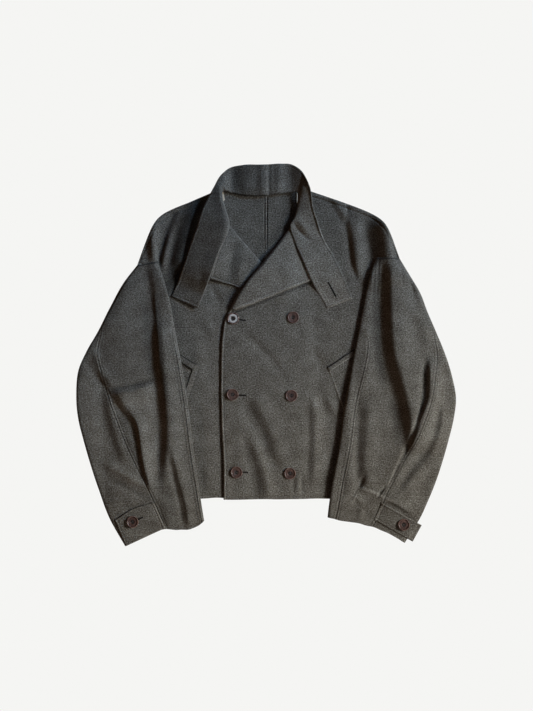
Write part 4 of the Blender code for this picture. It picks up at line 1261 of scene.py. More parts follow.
SLEEVE_FOLDS = {
    "right": [
        (2.8, 20, 11, [(-204, 172), (-198, 130), (-192, 100), (-187, 60), (-184, 20), (-182, -20),
                       (-179, -60), (-174, -100), (-172, -140), (-174, -180), (-177, -210), (-186, -255)]),
        (4.6, 20, 12, [(-188, 66), (-184, 20), (-182, -20), (-179, -60), (-174, -100), (-172, -140),
                       (-174, -180), (-178, -215)]),
        (-1.6, 9, 13, [(-217, 172), (-210, 100), (-208, 60), (-206, 20), (-203, -20), (-198, -60),
                       (-194, -100), (-193, -140), (-194, -180), (-197, -250)]),
        (-1.1, 9, 12, [(-208, 66), (-206, 20), (-203, -20), (-198, -60), (-194, -100), (-193, -140),
                       (-194, -180), (-197, -250)]),
        (1.3, 3, 3, [(-201, 120), (-196, 60), (-193, 20), (-190, -40)]),
        (3.2, 24, 20, [(-238, 145), (-256, 95), (-274, 62), (-294, 26)]),
        (2.2, 14, 6, [(-300, -22), (-276, -54), (-255, -88), (-242, -106), (-232, -122), (-227, -145),
                      (-224, -170), (-219, -200), (-211, -232), (-204, -262)]),
        (-1.8, 4, 8, [(-312, -30), (-290, -60), (-268, -93), (-253, -112), (-240, -128), (-234, -148),
                      (-229, -172), (-224, -200), (-215, -232), (-206, -262)]),
        (3.2, 12, 3.4, [(-250, -92), (-232, -122), (-227, -145), (-224, -170), (-219, -200), (-211, -232),
                        (-206, -250)]),
        (1.9, 8, 8, [(-288, -46), (-281, -85), (-276, -118), (-268, -148), (-248, -206)]),
        (-1.1, 8, 10, [(-302, -46), (-295, -90), (-290, -120), (-282, -150), (-262, -210)]),
        (-2.4, 4, 4, [(-294, -64), (-241, -55), (-194, -42)]),
        (5.0, 6, 18, [(-288, -74), (-240, -66), (-192, -53)]),
        (2.5, 8, 6, [(-316, 26), (-302, -16), (-286, -58)]),
        (-1.8, 7, 7, [(-336, 10), (-312, -32), (-292, -68)]),
        (2.2, 8, 6, [(-304, -190), (-280, -203), (-245, -221), (-194, -250)]),
        (-1.2, 7, 8, [(-304, -214), (-280, -226), (-245, -242), (-198, -268)]),
        (3.2, 12, 5, [(-170, -160), (-162, -192), (-154, -228), (-143, -270), (-136, -325)]),
        (-1.6, 4, 5, [(-178, -168), (-171, -202), (-164, -235), (-155, -275), (-148, -325)]),
        (2.5, 10, 10, [(-188, -252), (-178, -285), (-170, -330)]),
    ],
    "left": [
        (13.0, 44, 14, [(226, 174), (229, 120), (230, 60), (233, 20), (238, -10), (247, -40), (256, -70),
                        (263, -105), (267, -140), (266, -180)]),
        (-3.3, 10, 25, [(210, 178), (206, 120), (206, 60), (208, 20), (213, -10), (221, -40), (231, -70),
                        (238, -100), (247, -140), (250, -180)]),
        (2.8, 12, 10, [(194, 180), (185, 80), (182, 20), (172, -70)]),
        (-3.3, 6, 6, [(287, 2), (283, -40), (281, -70), (278, -95), (273, -112), (268, -132), (262, -152),
                      (250, -180), (240, -202)]),
        (4.6, 16, 6, [(296, 0), (296, -40), (295, -75), (287, -100), (279, -120), (272, -140), (264, -160),
                      (250, -190)]),
        (5.0, 18, 7, [(296, 6), (296, -40), (295, -75), (287, -100), (276, -128)]),
        (1.6, 12, 3.0, [(279, -120), (272, -140), (258, -170), (244, -200), (222, -245)]),
        (2.3, 2.2, 20, [(268, -72), (272, -98), (266, -118), (261, -135), (253, -155), (240, -183),
                        (229, -208), (210, -252)]),
        (-2.2, 8, 9, [(306, -75), (306, -112), (300, -145), (284, -175), (264, -200), (250, -220),
                      (218, -264)]),
        (3.6, 13, 8, [(318, -80), (318, -122), (310, -156), (294, -188), (272, -214), (240, -258)]),
        (-2.4, 8, 7, [(167, -65), (164, -150), (163, -195), (170, -250)]),
        (3.6, 16, 10, [(188, -70), (184, -150), (181, -195), (188, -255)]),
        (2.5, 9, 9, [(153, -30), (148, -150), (151, -268)]),
        (-2.5, 4, 4, [(182, -206), (168, -238), (156, -270)]),
        (-3.0, 2.5, 2.5, [(198, -264), (206, -248), (220, -232)]),
        (2.8, 2, 8, [(150, -274), (163, -250), (169, -242), (187, -246), (210, -256), (250, -270)]),
        (3.4, 10, 2.2, [(212, -261), (228, -267), (250, -280), (277, -299)]),
        (-1.8, 3, 3, [(242, 184), (246, 116)]),
        (-1.8, 3, 3, [(250, 166), (272, 86)]),
        (2.0, 5, 5, [(259, 166), (280, 90)]),
        (1.0, 2, 2, [(194, 184), (187, 84)]),
        (1.0, 2, 2, [(200, 184), (195, 80)]),
        (1.0, 2, 2, [(207, 186), (202, 88)]),
        (2.5, 12, 8, [(240, 92), (268, 74), (296, 30)]),
        (-2.0, 12, 14, [(256, 78), (270, 44), (268, -4)]),
        (2.4, 12, 10, [(282, 74), (292, 34), (286, -2)]),
        (-2.0, 5, 5, [(142, -258), (168, -270), (186, -298)]),
        (2.5, 6, 6, [(154, -250), (172, -274), (166, -306)]),
    ],
}
# Painted light and shade on the sleeves: dark strokes on the shaded sides of folds and creases, pale ones on
# lit ridges, painted highlights along the left cuff and its flap edge, and a painted shadow above the left
# tab.
SLEEVE_PAINTED_SHADING = {
    "right": [
        (-0.35, 4, 5, [(-300, -68), (-270, -62), (-240, -56), (-212, -48), (-186, -40)]),
        (0.28, 12, 22, [(-286, -96), (-240, -84), (-200, -72), (-186, -68)]),
        (0.15, 14, 14, [(-218, -70), (-212, -120), (-210, -180), (-204, -230)]),
        (-0.25, 9, 9, [(-276, -80), (-258, -108), (-246, -135), (-238, -170), (-224, -215)]),
        (-0.3, 4, 4, [(-292, -218), (-262, -232), (-238, -246), (-198, -264)]),
        (0.2, 4, 5, [(-298, -196), (-262, -214), (-240, -226), (-205, -244)]),
        (-0.2, 20, 20, [(-188, -220), (-176, -262), (-168, -335)]),
        (-0.25, 5, 8, [(-238, 165), (-262, 116), (-283, 76), (-304, 32), (-330, -16), (-344, -76),
                       (-338, -120), (-326, -165)]),
        (0.15, 14, 14, [(-318, -40), (-316, -100), (-300, -160), (-288, -200)]),
        (-0.45, 6, 6, [(-201, 118), (-195, 60), (-190, 20), (-187, -20), (-181, -60), (-176, -96)]),
        (-0.35, 9, 9, [(-217, 110), (-215, 60), (-213, 20), (-209, -20), (-205, -60)]),
        (0.16, 22, 22, [(-264, -172), (-254, -226), (-248, -276)]),
    ],
    "left": [
        (0.5, 1.8, 1.8, [(146, -285), (162, -255), (166, -243), (172, -241), (187, -245), (200, -251),
                         (210, -256), (222, -262), (250, -264)]),
        (0.25, 1.2, 1.2, [(276, -84), (275, -104), (266, -126), (256, -148), (243, -180), (230, -210),
                          (218, -245)]),
        (-0.6, 1.7, 1.7, [(210, -260), (228, -268.5), (246, -279), (268, -293)]),
        (-0.42, 9, 10, [(204, 165), (199, 120), (197, 60), (199, 20), (204, -10), (212, -40), (221, -70)]),
        (-0.35, 9, 9, [(222, -66), (232, -104), (236, -138), (233, -168)]),
        (0.30, 20, 20, [(296, 60), (316, 0), (322, -60), (314, -130), (300, -190)]),
    ],
}
print("folds in the sleeves:", {side: len(rows) for side, rows in SLEEVE_FOLDS.items()})

# %% [markdown]
# The cap's first row is set on the edge of its front, a little inside it, and the sleeve rises from there
# with its small pleats. Further down it is stiff enough to bridge what lies under it. Both long edges are
# folded cloth, so the upper and the lower face round into each other there.

# %% Sleeve faces
CUFF_REACH = 45 * MM
CUFF_BOW = {"right": 1 * MM, "left": 7 * MM}
CUFF_SWAY = {"right": 8 * MM, "left": 2 * MM}
SWAY_BENDS = 1.5
CUFF_WAVE = 1.4 * MM
CUFF_HUMP = 13 * MM
SLEEVE_EDGE = 6.0 * MM
SLEEVE_BRIDGE = 24 * MM
SLEEVE_SOFTEN = 22 * MM
SLEEVE_CELL = 2.3 * MM
SLEEVE_SINKS = 3.3 * MM
SLEEVE_HUMPS = ((0.5, 38, 0), (0.25, 15, 20))
SLEEVE_SEED = {"right": 51, "left": 52}
CAP_REACH = 50 * MM
CAP_INSIDE = 3 * MM
CAP_OVER = 0.8 * MM
CAP_FADES = 36 * MM


def sleeve_plan(rows, share, side):
    """Plan points of a sleeve at shares of its width, with the hem's curve at the cuff."""
    plan = ruled(rows, share)
    chord = rows[:, 2:4] - rows[:, 0:2]
    up = np.stack([-chord[:, 1], chord[:, 0]], axis=1) / widths(rows)
    up *= np.sign(up[:, 1:2])
    middle = (rows[:, 0:2] + rows[:, 2:4]) / 2
    to_hem = np.linalg.norm(middle - middle[-1], axis=1)
    fade = np.clip(1 - to_hem / CUFF_REACH, 0, 1)[:, None] ** 2
    bow = CUFF_BOW[side] * 4 * share * (1 - share)
    sway = CUFF_SWAY[side] * np.sin(2 * math.pi * share ** SWAY_BENDS)
    wave = CUFF_WAVE * ripple(plan[..., 0], 0 * share, CUFF_HUMP, SLEEVE_SEED[side])
    return plan + (fade * (bow + sway + wave))[..., None] * up[:, None]


def sleeve_dome(width, share):
    """How far a sleeve's face has left its folded edges: 0 on an edge, 1 past its rounding."""
    return (1 - turn_under(share * width, SLEEVE_EDGE)) * (1 - turn_under((1 - share) * width, SLEEVE_EDGE))


def sleeve_face(side, rows, along, share, upper, bed_pile):
    """Points of a sleeve's upper or lower face. The cap lies close, and the rest bridges what is under it."""
    plan = sleeve_plan(rows, share, side)
    x = plan[..., 0]
    y = plan[..., 1]
    dome = sleeve_dome(widths(rows), share)
    loft = rows[:, 6:7] * MM
    height = loft / 2 * (1 - dome)
    if upper:
        relief = fold_relief(x, y, SLEEVE_FOLDS[side]) + unevenness(x, y, SLEEVE_HUMPS, SLEEVE_SEED[side])
        height = loft / 2 + (loft / 2 + np.maximum(relief, -SLEEVE_SINKS)) * dome
    free = smooth_step(along / CAP_REACH)[:, None]
    close = bed_pile.bed(x, y, PILE_CELL, 2 * PILE_CELL)
    z = close + free * (bed_pile.bed(x, y, SLEEVE_BRIDGE, SLEEVE_SOFTEN) - close) + height
    if upper and along[0] == 0:
        last = np.searchsorted(along, CAP_FADES)
        away = smooth_step(along[:last] / along[last])[:, None]
        seam = bed_pile.bed(x[:1], y[:1] + CAP_INSIDE, 0, PILE_CELL) + CAP_OVER
        pleats = relief[:last] - relief[:1] * (1 - away) - relief[last] * away
        z[:last] = seam * (1 - away) + z[last] * away + pleats * dome[:last]
    return np.dstack([x, y, z])


# %% [markdown]
# A pressed seam is a groove between two ridges, with a row of stitches beside it. It is shaped, and light
# and shade are painted on it: painted shade in the groove, a painted highlight on the ridge and painted shade
# again at the stitches. Where the under sleeve starts, both seams lie at the sleeve's edges, and they move
# inwards from there.

# %% Sleeve seams
UNDER_START = {"right": 2.5, "left": 3.5}           # rows of the table
SEAM_OPENS = 34 * MM
NARROWEST = 0.9 * MM
SEAM_FALL = 0.8 * MM
SEAM_ROUND = 1.8 * MM
SEAM_DENT = 0.3 * MM
# Painted light and shade of a pressed seam: shade in the groove and at the stitches, a highlight on the
# ridge.
SEAM_PAINTED_SHADING = (                                      # share, place and spread
    (-0.6, 0.0, 0.9 * MM),                          # the groove
    (0.25, 2.6 * MM, 1.1 * MM),                     # the ridge beside it
    (-0.4, SEW_IN * MM, 0.8 * MM),                  # the row of stitches
)


def seam_fall(gap):
    """How far cloth falls towards a seam and under its stitches."""
    near = np.clip(gap / SEAM_ROUND, 0, 1)
    return SEAM_FALL * (1 - near) ** 2 + SEAM_DENT * bell(gap, SEW_IN * MM, DENT_WIDTH)


def seam_painted_shading(gap):
    """Painted shade and highlight of a pressed seam at a distance from it."""
    return sum(share * bell(gap, place, spread) for share, place, spread in SEAM_PAINTED_SHADING)


def seam_shown(along, start):
    """How far a seam has come into view below its start."""
    return smooth_step((along - start - SEAM_OPENS / 2) / (2 * SEAM_OPENS))[:, None]


def sleeve_seams(side, rows, along):
    """Where the under sleeve starts, how far its seams have opened, and their shares of the width."""
    section = np.array(SLEEVE[side], dtype=float)[:, 0:4] * MM
    to_row = run_along((section[:, 0:2] + section[:, 2:4]) / 2)
    start = np.interp(UNDER_START[side], np.arange(len(section)), to_row)
    opened = smooth_step((along - start) / SEAM_OPENS)[:, None]
    from_back = np.clip(rows[:, 4:5], 0, 1) * opened
    from_front = (1 - np.clip(rows[:, 5:6], 0, 1)) * opened
    least = (along >= start)[:, None] * NARROWEST / widths(rows)
    return start, opened, from_back, from_front, least


# %% [markdown]
# The top sleeve gives way to the under sleeve one row of points after that starts, so that no slit opens
# where they meet. Above that place nothing lies under the cap's outer edge, so the edge falls to the
# table.

# %% Top sleeve
CAP_TURN = 2                    # the cap's edge turns twice as fast as a plain edge
CAP_FALL = 1.5 * MM
# Painted shade: a dark line along the cap's seam at the shoulder.
CAP_SEAM_PAINTED_SHADE = (2.2 * MM, -0.6)


def lay_top_sleeve(side, rows, along, seams, laid_on):
    """The top sleeve, from the cap to the cuff and from the back seam to the front seam."""
    start, opened, from_back, from_front, least = seams
    width = widths(rows)
    later = np.vstack([least[:1], least[:-1]])
    back = np.maximum(from_back, later)
    front = 1 - np.maximum(from_front, later)
    seam = (along >= start)[:, None] * BUTTED / 2 / width
    between = (front - back) * width - 2 * seam * width
    inner = columns(between, SLEEVE_CELL, near=SEWN_EDGE, far=SEWN_EDGE)
    share = back + seam + (front - back - 2 * seam) * inner
    to_back = inner * between
    to_front = (1 - inner) * between
    top = sleeve_face(side, rows, along, share, True, laid_on)
    top[..., 2] -= opened * (seam_fall(to_back) + seam_fall(to_front))
    top[..., 2] += edge_relief(CAP_TURN * along[:, None], CAP_FALL)
    alone = (1 - smooth_step(1 + (along - start) / SEAM_OPENS))[:, None]
    hangs = alone * turn_under(share * width, SLEEVE_EDGE)
    top[..., 2] -= hangs * np.maximum(top[..., 2] - WALL, 0)
    painted_shading = strokes(top[..., 0], top[..., 1], SLEEVE_PAINTED_SHADING[side])
    painted_shading = painted_shading + seam_shown(along, start) * (seam_painted_shading(to_back) + seam_painted_shading(to_front))
    painted_shading = painted_shading + painted_edge_band(along[:, None], *CAP_SEAM_PAINTED_SHADE)
    grain = np.dstack([share * width, along[:, None] + 0 * share])
    cloth_sheet("sleeve_" + side + "_top_cloth", top, WALL, grain, WOOL, painted_shading=painted_shading)
    heap.lay(top)
    clear = along > start + SEAM_OPENS
    sew(top[clear, SEWN_AT])
    sew(top[clear, -1 - SEWN_AT])
    sew(top[clear, -1 - EDGE_SEWN_AT])


# %% [markdown]
# The under sleeve is one sheet: it comes over the outer edge from the back seam, goes flat behind the
# sleeve and comes up over the inner edge to the front seam. Only the parts beside the seams show from
# above.

# %% Under sleeve
TURN_IN = np.array([0.04, 0.12, 0.26, 0.45, 0.7])   # points in the rounding of a folded edge
TURN_SHARE = 0.75                                   # of a narrow side is rounding
SEAM_SIDE = (0.0, 0.4, 1.0, 1.8)
LOWER_CELL = 6 * MM
UNDER_SEWN = (3, 5)                                 # columns of points beside the left back seam


def lay_under_sleeve(side, rows, along, seams, laid_on):
    """The under sleeve, from where it starts to the cuff and all round the tube."""
    start, opened, from_back, from_front, least = seams
    kept = along >= start
    back = np.maximum(from_back, least)[kept]
    front = np.maximum(from_front, least)[kept]
    rows = rows[kept]
    along = along[kept]
    opened = opened[kept]
    width = widths(rows)
    back = back - BUTTED / 2 / width
    front = front - BUTTED / 2 / width
    rounding = SLEEVE_EDGE / width
    back_turn = np.minimum(rounding, TURN_SHARE * back)
    front_turn = np.minimum(rounding, TURN_SHARE * front)
    to_back = columns((back - back_turn) * width, SLEEVE_CELL, near=SEAM_SIDE, far=(0.0,))
    outer = np.hstack([back + (back_turn - back) * to_back, back_turn * TURN_IN[::-1], 0 * back])
    flat = rounding + (1 - 2 * rounding) * np.linspace(0, 1, int(width.max() / LOWER_CELL))
    lower = np.hstack([rounding * TURN_IN, flat, 1 - rounding * TURN_IN[::-1], 0 * back + 1])
    to_front = columns((front - front_turn) * width, SLEEVE_CELL, near=(0.0,), far=SEAM_SIDE)
    inside = 1 - np.hstack([front_turn * TURN_IN, front_turn + (front - front_turn) * to_front])

    back_gap = (back - outer) * width
    front_gap = (inside - 1 + front) * width
    upper_out = sleeve_face(side, rows, along, outer, True, laid_on)
    upper_out[..., 2] -= opened * seam_fall(back_gap)
    upper_in = sleeve_face(side, rows, along, inside, True, laid_on)
    upper_in[..., 2] -= opened * seam_fall(front_gap)
    underneath = sleeve_face(side, rows, along, lower, False, laid_on)
    ring = np.concatenate([upper_out, underneath, upper_in], axis=1)
    shares = np.hstack([-outer, lower, 2 - inside])
    grain = np.dstack([shares * width, along[:, None] + 0 * shares])
    shown = seam_shown(along, start)
    out_rub = strokes(upper_out[..., 0], upper_out[..., 1], SLEEVE_PAINTED_SHADING[side]) + shown * seam_painted_shading(back_gap)
    painted_shading = np.hstack([out_rub, 0 * lower, shown * seam_painted_shading(front_gap)])
    cloth_sheet("sleeve_" + side + "_under_cloth", ring, WALL, grain, WOOL, faces_up=False, painted_shading=painted_shading)
    heap.lay(upper_out)
    heap.lay(upper_in)
    if side == "left":
        clear = along > start + SEAM_OPENS
        for column in UNDER_SEWN:
            sew(upper_out[clear, column])


for side in ("right", "left"):
    laid_on = heap.copy()
    rows, along = stations(SLEEVE[side], SLEEVE_CELL)
    seams = sleeve_seams(side, rows, along)
    lay_top_sleeve(side, rows, along, seams, laid_on)
    lay_under_sleeve(side, rows, along, seams, laid_on)
print("sleeves laid; pile is now", round(heap.top.max() / MM, 1), "mm high")

# %% [markdown]
# ## Cuff tabs
# A doubled tab crosses each cuff and is buttoned. One end is sewn down, so it starts level with the
# sleeve and rises from there. The tab is sewn round its edges, with two pale rows at that end.

# %% Tabs
CUFF_TAB = {                    # a row: its two points
    "right": [(-201.6, -265.5, -180.9, -312.3), (-239, -276.5, -217, -329), (-272.7, -297.9, -252.9, -345.6)],
    "left": [(208.8, -266.4, 194.4, -297.9), (280.8, -307.8, 264.6, -337.5)],
}
TAB_CELL = 2.0 * MM
# Painted light and shade: painted shade along the right tab's upper edge and a painted highlight along the
# left one's, a painted highlight at each sewn end; the left tab is also a little darker all over.
TAB_EDGE_PAINTED_LINE = {"right": -0.75, "left": 0.3}
TAB_TONE = {"right": 0.0, "left": -0.12}
TAB_WALL = 0.6 * MM
TAB_RISE = 0.9 * MM
TAB_EASES = 16 * MM
SEWN_IN = 4 * MM
TAB_EDGE = (1.4 * MM, 0.4 * MM, 0.4 * MM)
TAB_SEWN_END = (0.0, 0.5 * MM, 0.5 * MM)
TAB_END_PAINTED_HIGHLIGHT = (3.0 * MM, 0.35)
TAB_EDGE_PAINTED_IN = 0.8 * MM
TAB_END_SEWN = SEWN_EDGE.index(1.0)
for side, table in CUFF_TAB.items():
    rows, along = stations(table, TAB_CELL, ends=(SEWN_EDGE, SEWN_EDGE))
    width = widths(rows)
    share = columns(width, TAB_CELL, near=SEWN_EDGE, far=SEWN_EDGE)
    plan = ruled(rows, share)
    edge = edge_relief(share * width, *TAB_EDGE)
    edge += edge_relief((1 - share) * width, *TAB_EDGE)
    edge += edge_relief(along[-1] - along[:, None], *TAB_EDGE)
    edge += edge_relief(along[:, None], *TAB_SEWN_END)
    bed = heap.bed(plan[..., 0], plan[..., 1], PILE_CELL, TRIM_SOFTEN)
    rise = TAB_RISE * smooth_step(along / TAB_EASES) - TAB_WALL * (1 - smooth_step(along / SEWN_IN))
    points = np.dstack([plan, bed - EASE + TAB_WALL + np.maximum(rise[:, None] + edge, -TAB_WALL)])
    painted_shading = TAB_TONE[side] + painted_edge_band(along[:, None], *TAB_END_PAINTED_HIGHLIGHT)
    painted_shading = painted_shading + painted_edge_band(share * width, TAB_EDGE_PAINTED_IN, TAB_EDGE_PAINTED_LINE[side])
    cloth_sheet("cuff_tab_" + side + "_cloth", points, TAB_WALL, plan, WOOL, painted_shading=painted_shading)
    heap.lay(points)
    inner = slice(SEWN_AT, -SEWN_AT)
    sew(points[inner, SEWN_AT])
    sew(points[inner, -1 - SEWN_AT])
    sew(points[-1 - SEWN_AT, inner])
    sew(points[SEWN_AT, inner], "pale")
    sew(points[TAB_END_SEWN, inner], "pale")
print("cuff tabs laid; lines of stitches to sew:", {k: len(lines) for k, lines in sewing_lines.items()})

# %% [markdown]
# ## Topstitching
# Every line of stitches is a row of short threads that dip into the cloth at both ends. One stitch is
# modelled from a small ball, stretched and bent, and it is then copied along each line.

# %% One stitch
UP = np.array([0.0, 0.0, 1.0])
bpy.ops.object.select_all(action="DESELECT")
bpy.ops.mesh.primitive_uv_sphere_add(segments=6, ring_count=5, radius=0.5, rotation=(0.0, math.pi / 2, 0.0))
pattern = bpy.context.object
bpy.ops.object.transform_apply(location=False, rotation=True, scale=False)
one = np.array([v.co for v in pattern.data.vertices])
one_faces = [tuple(p.vertices) for p in pattern.data.polygons]
bpy.data.objects.remove(pattern)


def thread_piece(name, threads, thick, bow, finish):
    """One mesh of bent threads, each given by its middle, its direction and its length."""
    vertices = []
    faces = []
    rises, sinks = bow
    bend = (0.25 - one[:, 0:1] ** 2) * rises - sinks
    for middle, way, length in threads:
        over = np.cross(way, UP)
        over /= np.linalg.norm(over)
        put = middle + one[:, 0:1] * length * way + one[:, 1:2] * thick * over
        put = put + (one[:, 2:3] + bend) * thick * np.cross(over, way)
        first = len(vertices)
        vertices.extend(put.tolist())
        faces.extend(tuple(first + k for k in face) for face in one_faces)
    mesh = bpy.data.meshes.new(name)
    mesh.from_pydata(vertices, [], faces)
    mesh.shade_smooth()
    mesh.materials.append(finish)
    piece = bpy.data.objects.new(name, mesh)
    bpy.context.scene.collection.objects.link(piece)
    print(name + ":", len(threads), "threads")
    return piece


# %% Stitches along the lines
STITCH = 3.0 * MM
STITCH_GAP = 0.9 * MM
STITCH_BOW = (1.2, 0.1)         # rise in the middle and sinking as a whole, in thread widths
THREAD_WIDTH = {"dark": 0.6 * MM, "pale": 0.75 * MM, "black": 1.0 * MM}


def stitches_on(line):
    """Middle, direction and length of every stitch on a line of points."""
    length = run_along(line)
    number = np.arange(len(line))
    found = []
    for start in np.arange(STITCH_GAP, length[-1] - STITCH, STITCH + STITCH_GAP):
        spots = np.interp([start, start + STITCH / 2, start + STITCH], length, number)
        low, middle, high = np.stack([np.interp(spots, number, line[:, k]) for k in range(3)], axis=1)
        found.append((middle, (high - low) / np.linalg.norm(high - low), STITCH))
    return found


def stitched(name, thread):
    """All the stitches that are sewn with one thread."""
    threads = [stitch for line in sewing_lines[thread] for stitch in stitches_on(line)]
    return thread_piece(name, threads, THREAD_WIDTH[thread], STITCH_BOW, THREAD[thread])


topstitching = stitched("topstitching", "dark")
pale_topstitching = stitched("pale_topstitching", "pale")
# Its black thread along the welts stands for the shadow in the pocket mouths.
welt_shadow_stitching = stitched("welt_shadow_stitching", "black")

# %% [markdown]
# ## Buttons
# The buttons are turned horn: a raised rim, a dished middle and four drilled holes. One is modelled from
# a cylinder as on a lathe, ring by ring, and it is drilled with a Boolean. Each copy stands on a short
# shank of thread on its cloth.

# %% Turn one button
BUTTON_RADIUS = 10.5 * MM
BUTTON_HEIGHT = 2.6 * MM
BUTTON_FOOT = 0.88              # of the radius
FOOT_HEIGHT = 0.4               # of the height
BUTTON_SIDES = 48
LATHE = [                       # size as a share of the last ring's, and rise in button heights
    (1.0 / BUTTON_FOOT, 0.30), (0.985, 0.20), (0.96, 0.10), (0.955, 0.00), (0.95, -0.28), (0.92, -0.28),
    (0.97, -0.04), (0.985, 0.0), (0.545, 0.0), (0.97, 0.0), (0.90, -0.12), (0.90, -0.02),
]


def top_faces(piece):
    """Selects the face that looks up in the middle of a round piece."""
    bpy.ops.mesh.select_all(action="DESELECT")
    bpy.ops.object.mode_set(mode="OBJECT")
    highest = max(piece.data.polygons, key=lambda p: (len(p.vertices), p.center.z))
    highest.select = True
    bpy.ops.object.mode_set(mode="EDIT")


def turned_button():
    """A cylinder for the foot, and then ring after ring on its top face."""
    bpy.ops.object.select_all(action="DESELECT")
    foot = FOOT_HEIGHT * BUTTON_HEIGHT
    bpy.ops.mesh.primitive_cylinder_add(vertices=BUTTON_SIDES, radius=BUTTON_RADIUS * BUTTON_FOOT,
                                        depth=foot, location=(0, 0, foot / 2))
    piece = bpy.context.object
    piece.name = "button_pattern"
    bpy.ops.object.transform_apply(location=True, rotation=False, scale=False)
    bpy.ops.object.mode_set(mode="EDIT")
    bpy.ops.mesh.select_mode(type="FACE")
    top_faces(piece)
    for scale, rise in LATHE:
        bpy.ops.mesh.extrude_region_move(TRANSFORM_OT_translate={"value": (0, 0, rise * BUTTON_HEIGHT)})
        bpy.ops.transform.resize(value=(scale, scale, 1.0), center_override=(0, 0, 0))
    bpy.ops.object.mode_set(mode="OBJECT")
    return piece


button = turned_button()
print("button turned:", len(button.data.polygons), "faces")

# %% Drill and polish it
HOLE_RADIUS = 1.0 * MM
HOLE_OUT = 2.1 * MM
HOLE_SIDES = 16
POLISH = 0.18 * MM
POLISH_ANGLE = math.radians(40)
for x, y in ((HOLE_OUT, HOLE_OUT), (-HOLE_OUT, HOLE_OUT), (-HOLE_OUT, -HOLE_OUT), (HOLE_OUT, -HOLE_OUT)):
    bpy.ops.object.select_all(action="DESELECT")
    bpy.ops.mesh.primitive_cylinder_add(vertices=HOLE_SIDES, radius=HOLE_RADIUS, depth=6 * BUTTON_HEIGHT,
                                        location=(x, y, 0.0))
    drill = bpy.context.object
    bpy.context.view_layer.objects.active = button
    hole = button.modifiers.new("hole", "BOOLEAN")
    hole.operation = "DIFFERENCE"
    hole.object = drill
    bpy.ops.object.modifier_apply(modifier="hole")
    bpy.data.objects.remove(drill)
bpy.ops.object.select_all(action="DESELECT")
button.select_set(True)
bpy.context.view_layer.objects.active = button
soft = button.modifiers.new("soft", "BEVEL")
soft.width = POLISH
soft.segments = 2
soft.limit_method = "ANGLE"
soft.angle_limit = POLISH_ANGLE
bpy.ops.object.modifier_apply(modifier="soft")
bpy.ops.object.shade_smooth_by_angle(angle=POLISH_ANGLE)
button_points = np.array([v.co for v in button.data.vertices])
turned = button.data.attributes.new("turned", "FLOAT", "POINT")
turned.data.foreach_set("value", np.hypot(button_points[:, 0], button_points[:, 1]) / BUTTON_RADIUS)
print("button:", len(button.data.polygons), "faces,", round(button_points[:, 2].max() / MM, 2), "mm high")

# %% Set the buttons
BUTTONS = {                     # place, and turn in degrees
    "button_front_1": (-59, 65, 12),
    "button_front_2": (49, 67, -20),
    "button_front_3": (-60, -72, 35),
    "button_front_4": (46, -74, 5),
    "button_front_5": (-53, -212, -8),
    "button_front_6": (43, -214, 24),
    "button_cuff_right": (-240, -301, 28),
    "button_cuff_left": (248, -306, -32),
}
BUTTON_SINKS = 55               # percentile of the cloth's height under a button
SHANK = 0.3 * MM
SEAT_SPOTS = 9
THREAD_LEVEL = 0.32             # of the button's height
THREAD_APART = 0.35 * MM
buttons = {}
thread_ends = []
for name, (x, y, turn) in BUTTONS.items():
    mesh = button.data.copy()
    spots = np.linspace(-BUTTON_RADIUS, BUTTON_RADIUS, SEAT_SPOTS)
    under = heap.top[np.ix_(heap.places(y * MM + spots), heap.places(x * MM + spots))]
    seat = np.percentile(under, BUTTON_SINKS) + SHANK
    angle = math.radians(turn)
    sine = math.sin(angle)
    cosine = math.cos(angle)
    spin = np.array([[cosine, -sine, 0], [sine, cosine, 0], [0, 0, 1]])
    place = np.array([x * MM, y * MM, seat])
    mesh.vertices.foreach_set("co", (button_points @ spin.T + place).ravel().astype(np.float32))
    mesh.materials.clear()
    mesh.materials.append(HORN)
    piece = bpy.data.objects.new(name + "_horn", mesh)
    bpy.context.scene.collection.objects.link(piece)
    buttons[name] = piece
    dish = place + (0, 0, THREAD_LEVEL * BUTTON_HEIGHT)
    for across in (-HOLE_OUT, HOLE_OUT):
        for beside in (across - THREAD_APART, across + THREAD_APART):
            ends = np.array([[-HOLE_OUT, beside, 0], [HOLE_OUT, beside, 0]])
            thread_ends.append(ends @ spin.T + dish)
bpy.data.objects.remove(button)
print("buttons set:", len(buttons))

# %% [markdown]
# Each button is sewn on with two pairs of black threads across its holes. A worked buttonhole is a slit
# between two rows of small bars of thread. Four of them show only the end that comes out from under a
# button. The fifth is in the collar's left end.

# %% Threads and buttonholes
BUTTONHOLES = [                 # both ends of the part that shows
    ((-58, 64.5), (-36.5, 61)),
    ((-59, -72.5), (-36, -73.6)),
    ((-52, -210.5), (-32, -212.3)),
    ((-240, -301), (-221, -292.4)),
    ((112, 130), (126, 104)),
]
ROD_BOW = (1.6, 0.2)
BUTTON_THREAD = 0.8 * MM
BAR_THREAD = 0.84 * MM
BAR_PITCH = 0.62 * MM
BAR_LENGTH = 1.3 * MM
BAR_APART = 0.6 * MM
BAR_SINKS = 0.05 * MM


def rods(ends, thick):
    """Middle, direction and length of threads between pairs of points."""
    found = []
    for low, high in ends:
        length = np.linalg.norm(high - low)
        found.append(((low + high) / 2, (high - low) / length, length + thick))
    return found


button_rods = rods(thread_ends, BUTTON_THREAD)
button_thread = thread_piece("button_thread", button_rods, BUTTON_THREAD, ROD_BOW, THREAD["black"])

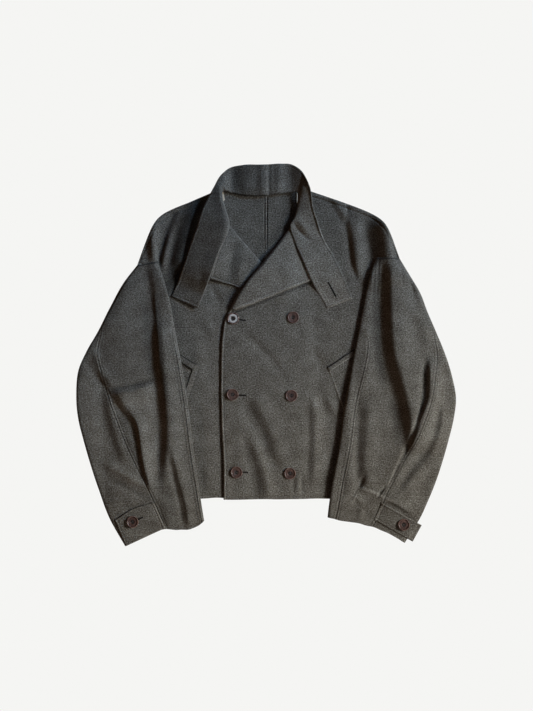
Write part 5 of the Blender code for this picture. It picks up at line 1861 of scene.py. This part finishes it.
bars = []
for start, end in BUTTONHOLES:
    low = np.array(start) * MM
    high = np.array(end) * MM
    way = (high - low) / np.linalg.norm(high - low)
    over = np.array([-way[1], way[0]])
    for step in np.arange(0, np.linalg.norm(high - low), BAR_PITCH):
        for side in (-1, 1):
            near = low + way * step + side * over * (BAR_APART - BAR_LENGTH / 2)
            far = low + way * step + side * over * (BAR_APART + BAR_LENGTH / 2)
            level = heap.top[heap.places(near[1]), heap.places(near[0])] - BAR_SINKS
            bars.append((np.array([*near, level]), np.array([*far, level])))
buttonholes = thread_piece("buttonholes", rods(bars, BAR_THREAD), BAR_THREAD, ROD_BOW, THREAD["black"])
print("buttonholes:", len(BUTTONHOLES))

# %% [markdown]
# ## Join the looks to the frame
# Every piece rides on the part's one body and stands for its own solid, which is hidden. The sizes that
# the sheets were cut to are listed, but nothing here reads them.

# %% Ride and replace
SHEET_NAMES = {
    "neck_tape_left": "neck_tape_left_band", "neck_tape_right": "neck_tape_right_band",
    "pocket_left": "pocket_left_patch", "pocket_right": "pocket_right_patch",
    "pocket_welt_left": "pocket_left_welt_band", "pocket_welt_right": "pocket_right_welt_band",
}
CUT = {                         # width, length and area of the flat piece
    "back_left": (0.265, 0.556, 0.128), "back_right": (0.262, 0.556, 0.127),
    "neck_tape_left": (0.012, 0.022, 0.00008), "neck_tape_right": (0.012, 0.022, 0.00008),
    "front_left": (0.330, 0.565, 0.140), "front_right": (0.320, 0.556, 0.133),
    "lapel_left": (0.100, 0.185, 0.0085), "lapel_right": (0.100, 0.160, 0.0083),
    "pocket_left": (0.080, 0.140, 0.0075), "pocket_right": (0.066, 0.130, 0.0062),
    "pocket_welt_left": (0.012, 0.098, 0.00088), "pocket_welt_right": (0.013, 0.080, 0.00095),
    "collar": (0.058, 0.720, 0.0370),
    "sleeve_left_top": (0.135, 0.500, 0.0560), "sleeve_right_top": (0.135, 0.500, 0.0560),
    "sleeve_left_under": (0.270, 0.400, 0.098), "sleeve_right_under": (0.270, 0.420, 0.105),
    "cuff_tab_left": (0.036, 0.084, 0.0029), "cuff_tab_right": (0.052, 0.080, 0.0041),
}
sewn = [topstitching, pale_topstitching, welt_shadow_stitching, buttonholes]
for node_name, (cut_width, cut_length, cut_area) in CUT.items():
    piece = sheets[SHEET_NAMES.get(node_name, node_name + "_cloth")]
    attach(piece, "root")
    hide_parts(node_name)
for node_name, piece in buttons.items():
    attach(piece, "root")
    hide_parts(node_name)
for piece in sewn + [button_thread]:
    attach(piece, "root")

print("pieces joined to the frame:", len(CUT) + len(buttons) + len(sewn) + 1)
